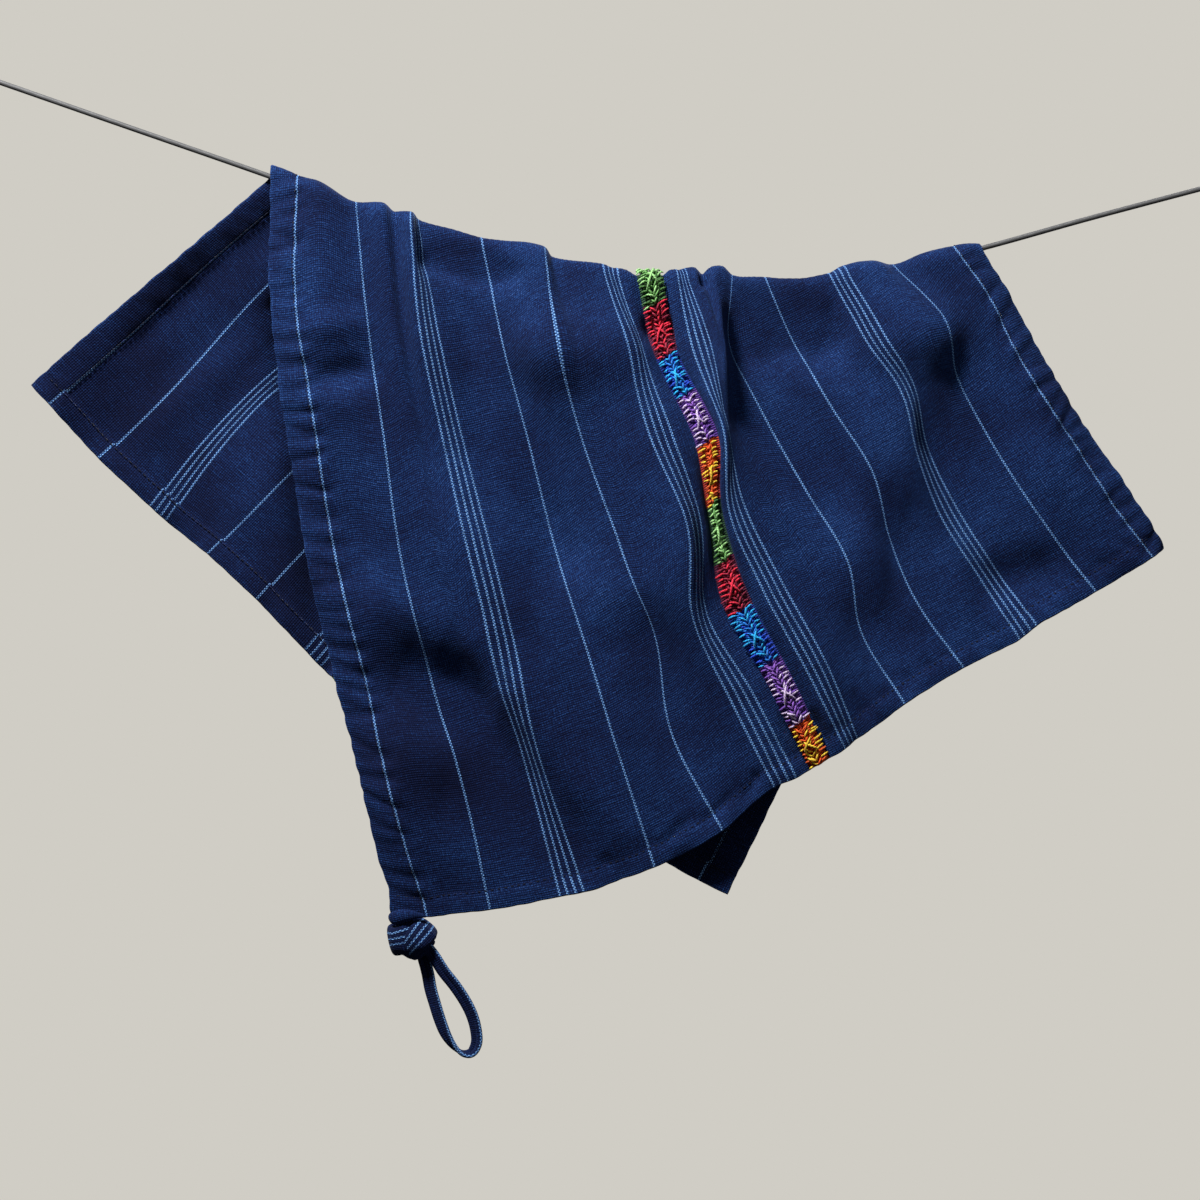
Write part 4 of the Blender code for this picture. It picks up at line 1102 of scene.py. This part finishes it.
# The join: the two selvedges are butted and worked over with thick cotton in blocks of one colour, each
# block a light and a dark shade of it. Slanting stitches cover the join, longer ones reach out over
# both edges like the teeth of a comb, links run down the middle and two stitches cross on each block.
YARN_RADIUS = 0.00056
BLOCK_LENGTHS = (0.027, 0.039, 0.034, 0.030, 0.034, 0.036, 0.030, 0.025, 0.031, 0.031)
Shade = namedtuple("Shade", "light spine dark ground")
SHADES = (
    Shade("#FFD23A", "#F2601F", "#F0662A", "#C23A18"),
    Shade("#DCC6EC", "#9460C8", "#8052BC", "#5A3490"),
    Shade("#22B0F2", "#1B7FE0", "#2250D4", "#18389C"),
    Shade("#F02A48", "#A81E3E", "#8C1C3C", "#641430"),
    Shade("#A4DC8C", "#6FA85C", "#4A7A3C", "#2E5228"),
)
GROUND_PITCH = 0.00145
TEETH_PITCH = 0.0029
LINK_PITCH = 0.0030
SEAM_LIFT = 0.0009
BAND_LAP = 0.0013
BAND_SINK = 0.0021
LIGHT_SHARE = 0.52
WOBBLE = 0.00025
TINTS = (0.86, 1.12)
CROSS_LIFT = SEAM_LIFT + 0.0003
CROSS_GIRTH = 1.22


def seam_blocks():
    """Where each block of colour starts and ends along the towel, from the front hem to the back hem."""
    ends = [0.0]
    place = 0
    while ends[-1] < TOWEL_LENGTH:
        ends.append(ends[-1] + BLOCK_LENGTHS[place % len(BLOCK_LENGTHS)])
        place += 1
    ends[-1] = TOWEL_LENGTH
    return list(zip(ends, ends[1:]))


def embroidery():
    """All the stitches of the join."""
    draws = np.random.default_rng(SEED + 2)
    half = SEAM_WIDTH / 2
    made = []

    def add(side_a, along_a, side_b, along_b, colour, lift, rise, girth, points=5, bend=0.0):
        """A stitch between places given from the middle of the join, in millimetres across it."""
        wobble = draws.uniform(-WOBBLE, WOBBLE, 4)
        tint = np.array(linear(colour))
        tint[:3] *= draws.uniform(*TINTS)
        start = (SEAM_CENTRE + side_a / 1000 + wobble[0], min(max(along_a + wobble[1], 0), TOWEL_LENGTH))
        end = (SEAM_CENTRE + side_b / 1000 + wobble[2], min(max(along_b + wobble[3], 0), TOWEL_LENGTH))
        made.append(stitch(start, end, lift, rise, np.clip(tint, 0, 1), girth, points, bend))

    edge = half * 1000
    for number, (foot, head) in enumerate(seam_blocks()):
        shade = SHADES[number % len(SHADES)]
        length = head - foot
        turn = foot + length * (1 - LIGHT_SHARE)
        for place in np.arange(foot + 0.0006, head, GROUND_PITCH):
            for hand in (-1, 1):
                main = shade.spine if place > turn else shade.ground
                colour = shade.dark if draws.random() < 0.45 else main
                slant = draws.uniform(0.0002, 0.0020)
                add(hand * draws.uniform(-0.8, 0.6), place - slant, hand * (edge - draws.uniform(0.0, 0.9)),
                    place + slant, colour, SEAM_LIFT - 0.0004, 0.0007, 0.95, 4)
        for place in np.arange(foot + 0.0012, head - 0.0004, TEETH_PITCH):
            for hand in (-1, 1):
                shift = draws.uniform(-0.0007, 0.0007)
                light = draws.random() < (0.9 if place > turn else 0.45)
                reach = edge + draws.uniform(0.4, 1.6)
                add(hand * draws.uniform(2.2, 3.6), place + shift - draws.uniform(0.0, 0.0010),
                    hand * reach, place + shift + draws.uniform(-0.0004, 0.0009),
                    shade.light if light else shade.dark, SEAM_LIFT, 0.0011, 1.08, 5, bend=hand * 0.05)
        for place in np.arange(foot + 0.0020, head - 0.0014, LINK_PITCH):
            for hand in (-1, 1):
                colour = shade.spine if draws.random() < 0.7 else shade.light
                slant = draws.uniform(0.0010, 0.0026)
                add(hand * draws.uniform(-0.6, 0.4), place - slant,
                    hand * draws.uniform(1.6, 3.2), place + slant,
                    colour, SEAM_LIFT + 0.0002, 0.0015, 1.08, 5)
        cross = foot + length * 0.46
        add(-3.4, cross - 0.0046, 2.6, cross + 0.0050,
            shade.light, CROSS_LIFT, 0.0027, CROSS_GIRTH, 7, 0.06)
        add(3.6, cross - 0.0042, -2.2, cross + 0.0046,
            shade.light, CROSS_LIFT, 0.0024, CROSS_GIRTH, 7, -0.06)
        bar = foot + length * 0.17
        add(-4.2, bar + 0.0026, 0.6, bar - 0.0018, shade.light, CROSS_LIFT, 0.0022, CROSS_GIRTH, 6, 0.05)
    return made


BAND_COLUMNS = 11
BAND_ENDS = (0.0, 0.0004, 0.001)
BAND_ROW_SPACING = 0.0015
BAND_EDGE_HALF = 0.0002
BAND_CROWN_HALF = 0.0006


def seam_band_mesh(name):
    """The worked-over selvedges under the yarn: a narrow, slightly crowned strip of cloth."""
    half = SEAM_WIDTH / 2
    columns = np.linspace(SEAM_CENTRE - half - BAND_LAP, SEAM_CENTRE + half + BAND_LAP, BAND_COLUMNS)
    ends = np.array(BAND_ENDS)
    rows = filled(np.concatenate([ends, TOWEL_LENGTH - ends]), BAND_ROW_SPACING)
    u, v = np.meshgrid(columns, rows, indexing="ij")
    crown = np.sqrt(np.clip(1 - ((u - SEAM_CENTRE) / half) ** 2, 0, 1))
    taper = edge_round(np.minimum(v, TOWEL_LENGTH - v))
    centre = BAND_SINK * (crown - 1)
    half_thick = np.maximum((BAND_EDGE_HALF + BAND_CROWN_HALF * crown) * taper, THINNEST_HALF)
    return sheet_mesh(name, columns, rows, centre + half_thick, half_thick - centre)


BAND_DARK = "#141B3A"
STITCH_BACK_PITCH = 0.0013


def worked_selvedge(name):
    """Cloth under embroidery: it shows between the stitches, and on its wrong side in ribs of yarn."""
    made, tree, shader = new_material(name, 0.85, 0.25)
    place = add_node(tree, "ShaderNodeUVMap", {"uv_map": "cloth"}).outputs["UV"]
    along = add_node(tree, "ShaderNodeSeparateXYZ", links={0: place}).outputs[1]
    turned = add_node(tree, "ShaderNodeMath", {"operation": "MULTIPLY"}, {
        0: along, 1: 2 * math.pi / STITCH_BACK_PITCH})
    ribs = add_node(tree, "ShaderNodeMath", {"operation": "SINE"}, {0: turned.outputs[0]}).outputs[0]
    share = add_node(tree, "ShaderNodeMath", {"operation": "DIVIDE"}, {
        0: along, 1: TOWEL_LENGTH}).outputs[0]
    stops = [
        (block[0] / TOWEL_LENGTH, SHADES[number % len(SHADES)].ground)
        for number, block in enumerate(seam_blocks())
    ]
    bands = add_node(tree, "ShaderNodeValToRGB", links={"Fac": share}, stops=stops)
    bands.color_ramp.interpolation = "CONSTANT"
    shown = add_node(tree, "ShaderNodeMapRange", links={
        0: ribs, 1: -0.6, 2: 0.5, 3: 0.2, 4: 1.0}).outputs[0]
    colour = add_node(tree, "ShaderNodeMix", {"data_type": "RGBA"}, {
        0: shown, 6: linear(BAND_DARK), 7: bands.outputs["Color"]}).outputs[2]
    tree.links.new(colour, shader.inputs["Base Color"])
    bump = add_node(tree, "ShaderNodeBump", links={"Height": ribs, "Strength": 0.7, "Distance": 0.0003})
    tree.links.new(bump.outputs["Normal"], shader.inputs["Normal"])
    return made


seam_band = add_piece("seam_band", seam_band_mesh("seam_band"), worked_selvedge("worked_selvedge"))
seam_yarn = sewn_yarn("seam_yarn", embroidery(), YARN_RADIUS, 6, yarn)
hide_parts("seam_embroidery")


# The hanging strap: a strip of the striped cloth, folded along its length and sewn into the corner of
# the hem. It is knotted close under the hem and falls in a narrow loop, one edge beaded with stripes.
LOOP_COURSE = (
    (419, 941), (424, 957), (428, 972), (431, 988), (435, 1002), (440, 1018), (446, 1033), (454, 1045),
    (463, 1052), (472, 1051), (477, 1041), (476, 1027), (472, 1013), (465, 999), (455, 984), (444, 970),
    (433, 953), (422, 940),
)
LOOP_FORWARD = 0.006
LOOP_CROSSING = 0.0042
LOOP_RINGS = 190
LOBE_CENTRE = 0.0018
LOBE_HALF_WIDTH = 0.00195
STRAP_HALF_THICKNESS = 0.0014
SECTION_CORNERS = 36
STRAP_STRIPE_PITCH = 0.0016
STRAP_STRIPES = 2
STRAP_DARK = -1.6
NO_STRIPE = 0.05
DOTTED_SIDE_TURNS = (168, 168, 160, 150, 96, 40, 26, 20, 16, 14)


def lobed_outline():
    """The strap's outline: a beaded lobe and a plain one, with a valley along the fold between them."""
    turn = 2 * math.pi * np.arange(SECTION_CORNERS) / SECTION_CORNERS
    reach = LOBE_CENTRE + LOBE_HALF_WIDTH
    side = reach * np.cos(turn)
    inside = np.clip(1 - ((np.abs(side) - LOBE_CENTRE) / LOBE_HALF_WIDTH) ** 2, 0, 1)
    face = np.sign(np.sin(turn)) * STRAP_HALF_THICKNESS * np.sqrt(inside)
    face[0] = 0.0
    face[SECTION_CORNERS // 2] = 0.0
    return np.stack([side, face], axis=1)


def mark_stripes(mesh, count, pitch, perimeter, start):
    """Gives a strap its stripe map: distance from the nearest of some lines beside its outline's start."""
    cloth = np.empty(len(mesh.loops) * 2, np.float32)
    mesh.uv_layers["cloth"].data.foreach_get("uv", cloth)
    cloth = cloth.reshape(-1, 2)
    sizes = np.array([len(polygon.vertices) for polygon in mesh.polygons])
    firsts = np.concatenate([[0], np.cumsum(sizes)[:-1]])
    around = cloth[:, 0]
    middles = np.add.reduceat(around, firsts) / sizes
    signed = np.where(middles > perimeter / 2, middles - perimeter, middles)
    lines = start + pitch * np.arange(count)
    nearest = lines[np.abs(signed[:, None] - lines[None, :]).argmin(axis=1)]
    shift = np.repeat(np.where(middles > perimeter / 2, perimeter, 0.0) + nearest, sizes)
    marks = np.stack([around - shift, cloth[:, 1]], axis=1)
    mesh.uv_layers.new(name="stripe").data.foreach_set("uv", marks.astype(np.float32).ravel())


def darken(mesh):
    """The strap's cloth is made darker than the rest of the towel, all over."""
    mesh.attributes.new("wear_and_painted_shade", "FLOAT", "POINT").data.foreach_set(
        "value", np.full(len(mesh.vertices), STRAP_DARK, np.float32))


def perimeter_of(section):
    return float(np.linalg.norm(np.roll(section, -1, axis=0) - section, axis=1).sum())


share = np.linspace(0, 1, LOOP_RINGS)
course = np.array(LOOP_COURSE, float)
loop_path = np.stack([
    across(smooth_steps(course[:, 0], share)), -(LOOP_FORWARD + LOOP_CROSSING * (share - 0.5)),
    height(smooth_steps(course[:, 1], share)),
], axis=1)
forward = unit(np.gradient(loop_path, axis=0))
toward = np.tile([0.0, -1.0, 0.0], (LOOP_RINGS, 1))
away_from_eye = unit(np.cross(forward, toward))
toward = np.cross(away_from_eye, forward)
turn = np.radians(smooth_steps(DOTTED_SIDE_TURNS, share))[:, None]
dotted_side = np.cos(turn) * away_from_eye + np.sin(turn) * toward
outline = lobed_outline()
loop_mesh = swept_mesh("strap_loop", loop_path, dotted_side, np.cross(dotted_side, forward), outline)
mark_stripes(loop_mesh, STRAP_STRIPES, STRAP_STRIPE_PITCH, perimeter_of(outline), -STRAP_STRIPE_PITCH * 0.5)
darken(loop_mesh)
strap_loop = add_piece("strap_loop", loop_mesh, cotton)
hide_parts("hanging_loop")


# The knot: the strap's wider, unfolded end is wound twice round itself, the second turn steeper than
# the first, and drawn tight. Two short tails go up from it into the corner of the hem.
KNOT_CENTRE_STEP = (410, 939)
KNOT_CORE = (0.0112, 0.0064, 0.0086)
KNOT_CORE_SHIFT = (0.0030, 0.0, -0.0026)
Wrap = namedtuple("Wrap", "name tilt shift_across shift_up girth_across girth_deep width thickness")
WRAPS = (
    Wrap("knot_first_turn", 12, -0.0026, 0.0012, 0.0068, 0.0046, 0.0190, 0.0058),
    Wrap("knot_second_turn", 50, 0.0044, 0.0006, 0.0088, 0.0068, 0.0160, 0.0052),
)
WRAP_RINGS = 72
WRAP_CORNERS = 28
WRAP_STRIPE_PITCH = 0.0040
WRAP_STRIPES = 3
TAILS = (((401, 914.0), (406, 940)), ((415, 912.5), (416, 940)))
TAIL_RINGS = 16
TAIL_HALF_WIDTH = 0.0036

knot_centre = np.array([across(KNOT_CENTRE_STEP[0]), -LOOP_FORWARD, height(KNOT_CENTRE_STEP[1])])
for wrap in WRAPS:
    tilt = math.radians(wrap.tilt)
    ring_side = np.array([math.cos(tilt), 0.0, math.sin(tilt)])
    ring_deep = np.array([0.0, 1.0, 0.0])
    turn = 2 * math.pi * np.arange(WRAP_RINGS) / WRAP_RINGS
    middle = knot_centre + np.array([wrap.shift_across, 0.0, wrap.shift_up])
    around = (np.cos(turn)[:, None] * ring_side * wrap.girth_across
              + np.sin(turn)[:, None] * ring_deep * wrap.girth_deep)
    wobble = 1 + 0.05 * np.sin(3 * turn + wrap.tilt) + 0.03 * np.sin(7 * turn)
    path = middle + around * wobble[:, None]
    facing = unit(around)
    tangent = unit(np.roll(path, -1, axis=0) - np.roll(path, 1, axis=0))
    side = unit(np.cross(tangent, facing))
    facing = np.cross(side, tangent)
    section = oval(wrap.width / 2, wrap.thickness / 2, WRAP_CORNERS, 2.4)
    section = np.roll(section, -(WRAP_CORNERS // 4), axis=0)
    swell = np.stack([1 - 0.10 * (1 + np.sin(2 * turn)), 1 + 0.12 * np.cos(3 * turn)], axis=1)
    mesh = swept_mesh(wrap.name, path, side, facing, section, swell, closed=True)
    mark_stripes(mesh, WRAP_STRIPES, WRAP_STRIPE_PITCH, perimeter_of(section), -WRAP_STRIPE_PITCH)
    darken(mesh)
    add_piece(wrap.name, mesh, cotton)


def lumpy_ball(name, centre, radii, rings=24, around=36):
    """A closed ball drawn out to three radii, with the soft lumps of bundled cloth."""
    lift = np.linspace(-math.pi / 2, math.pi / 2, rings)
    turn = 2 * math.pi * np.arange(around) / around
    up = np.sin(lift)[:, None] * np.ones((1, around))
    flat = np.cos(lift)[:, None]
    points = np.stack([flat * np.cos(turn), flat * np.sin(turn), up], axis=-1)
    lumps = 1 + 0.05 * np.sin(5 * points[..., 0] + 2) * np.sin(6 * points[..., 2])
    lumps += 0.04 * np.sin(9 * points[..., 2])
    points = np.array(centre) + points * np.array(radii) * lumps[..., None]
    inner = points[1:-1].reshape(-1, 3)
    count = (rings - 2) * around
    vertices = np.concatenate([inner, points[:1, 0], points[-1:, 0]])
    faces, marks = [], []
    for ring in range(rings - 3):
        for place in range(around):
            beside = (place + 1) % around
            faces.append((ring * around + place, ring * around + beside,
                          (ring + 1) * around + beside, (ring + 1) * around + place))
    for place in range(around):
        beside = (place + 1) % around
        top = (rings - 3) * around
        faces.append((count, beside, place))
        faces.append((count + 1, top + place, top + beside))
    mesh = bpy.data.meshes.new(name)
    mesh.from_pydata(vertices.tolist(), [], faces)
    for face in faces:
        marks += [(vertices[corner][0], vertices[corner][2]) for corner in face]
    mesh.uv_layers.new(name="cloth").data.foreach_set("uv", np.array(marks, np.float32).ravel())
    mesh.uv_layers.new(name="stripe").data.foreach_set("uv", np.full(len(marks) * 2, NO_STRIPE, np.float32))
    if facing_in(mesh):
        mesh.flip_normals()
    mesh.shade_smooth()
    return mesh


core_mesh = lumpy_ball("knot_core", knot_centre + np.array(KNOT_CORE_SHIFT), KNOT_CORE)
darken(core_mesh)
add_piece("knot_core", core_mesh, cotton)
for number, (top, foot) in enumerate(TAILS):
    start = np.array([across(top[0]), -LOOP_FORWARD, height(top[1]) - 0.0012])
    end = np.array([across(foot[0]), -LOOP_FORWARD, height(foot[1])])
    share = np.linspace(0, 1, TAIL_RINGS)[:, None]
    path = start + (end - start) * share
    tangent = unit(np.gradient(path, axis=0))
    facing = np.tile([0.0, -1.0, 0.0], (TAIL_RINGS, 1))
    side = unit(np.cross(tangent, facing))
    section = oval(TAIL_HALF_WIDTH, STRAP_HALF_THICKNESS, 20, 2.4)
    mesh = swept_mesh(f"strap_tail_{number + 1}", path, side, np.cross(side, tangent), section)
    mark_stripes(mesh, 1, 0.0, perimeter_of(section), NO_STRIPE)
    add_piece(f"strap_tail_{number + 1}", mesh, cotton)


# The towel's corner is gathered and folded over where the strap is sewn in: a small thick lip of hem
# lies over the top of the knot and runs out to a point on its right.
CORNER_COURSE = ((391.5, 918), (394, 917), (398, 916), (405, 914), (413, 913.5), (420, 914), (427, 915))
CORNER_FORWARD = (7.6, 9.8, 11.2, 11.8, 11.6, 10.8, 9.8)
CORNER_HEIGHTS = (0.40, 0.82, 0.98, 0.86, 0.60, 0.38, 0.14)
CORNER_DEPTHS = (0.5, 1.0, 1.2, 1.1, 0.9, 0.65, 0.28)
CORNER_HALF_HEIGHT = 0.0044
CORNER_HALF_DEPTH = 0.0025
CORNER_RINGS = 44

share = np.linspace(0, 1, CORNER_RINGS)
course = np.array(CORNER_COURSE, float)
path = np.stack([
    across(smooth_steps(course[:, 0], share)), -smooth_steps(CORNER_FORWARD, share) / 1000,
    height(smooth_steps(course[:, 1], share)),
], axis=1)
tangent = unit(np.gradient(path, axis=0))
facing = np.tile([0.0, -1.0, 0.0], (CORNER_RINGS, 1))
side = unit(np.cross(tangent, facing))
facing = np.cross(side, tangent)
girth = np.stack([smooth_steps(CORNER_HEIGHTS, share), smooth_steps(CORNER_DEPTHS, share)], axis=1)
girth *= (1 + 0.05 * np.sin(11 * share + 1))[:, None]
section = oval(CORNER_HALF_HEIGHT, CORNER_HALF_DEPTH, 28, 2.2)
mesh = swept_mesh("corner_fold", path, side, facing, section, girth)
mark_stripes(mesh, 1, 0.0, perimeter_of(section), NO_STRIPE)
add_piece("corner_fold", mesh, cotton)


# The studio: a plain pale floor well under the hanging towel, a soft key light from above and the left,
# weak fills, and pale surroundings. Floor and surroundings look pale but give back little light.
FLOOR_DROP = 0.36
FLOOR_RADIUS = 1.5
FLOOR_PALE = "#D1CEC6"
FLOOR_BOUNCE = "#2C2C2E"
SURROUNDINGS = "#D0CDC5"
AMBIENT = 0.13
Lamp = namedtuple("Lamp", "name place size power")
LAMPS = (
    Lamp("key", (-0.25, -0.79, 1.18), 0.30, 58),
    Lamp("fill", (1.9, -1.5, 0.2), 1.2, 3),
    Lamp("back", (1.2, 2.0, 1.1), 1.2, 26),
    Lamp("back_fill", (-1.6, 1.7, 0.3), 1.2, 12),
)

low, high = cad_box
centre = (low + high) / 2
floor_mesh = bpy.data.meshes.new("floor")
rim = 2 * math.pi * np.arange(96) / 96
floor_points = np.stack([
    centre.x + FLOOR_RADIUS * np.cos(rim), centre.y + FLOOR_RADIUS * np.sin(rim),
    np.full(96, low.z - FLOOR_DROP),
], axis=1)
floor_mesh.from_pydata(floor_points.tolist(), [], [tuple(range(96))])
floor = bpy.data.objects.new("floor", floor_mesh)
bpy.context.scene.collection.objects.link(floor)
floor_finish, tree, shader = new_material("pale_floor", 0.9, 0.2)
seen = add_node(tree, "ShaderNodeLightPath").outputs["Is Camera Ray"]
pale = add_node(tree, "ShaderNodeMix", {"data_type": "RGBA"}, {
    0: seen, 6: linear(FLOOR_BOUNCE), 7: linear(FLOOR_PALE)}).outputs[2]
tree.links.new(pale, shader.inputs["Base Color"])
floor_mesh.materials.append(floor_finish)

for lamp in LAMPS:
    light = bpy.data.lights.new(lamp.name, "AREA")
    light.shape = "DISK"
    light.size = lamp.size
    light.energy = lamp.power
    made = bpy.data.objects.new(lamp.name, light)
    made.location = lamp.place
    made.rotation_euler = (centre - Vector(lamp.place)).to_track_quat("-Z", "Y").to_euler()
    bpy.context.scene.collection.objects.link(made)

world = bpy.data.worlds.new("studio")
world.use_nodes = True
bpy.context.scene.world = world
tree = world.node_tree
seen = add_node(tree, "ShaderNodeLightPath").outputs["Is Camera Ray"]
strength = add_node(tree, "ShaderNodeMapRange", links={
    0: seen, 1: 0.0, 2: 1.0, 3: AMBIENT, 4: 1.0}).outputs[0]
background = tree.nodes["Background"]
background.inputs["Color"].default_value = linear(SURROUNDINGS)
tree.links.new(strength, background.inputs["Strength"])
bpy.context.scene.view_settings.view_transform = "Standard"
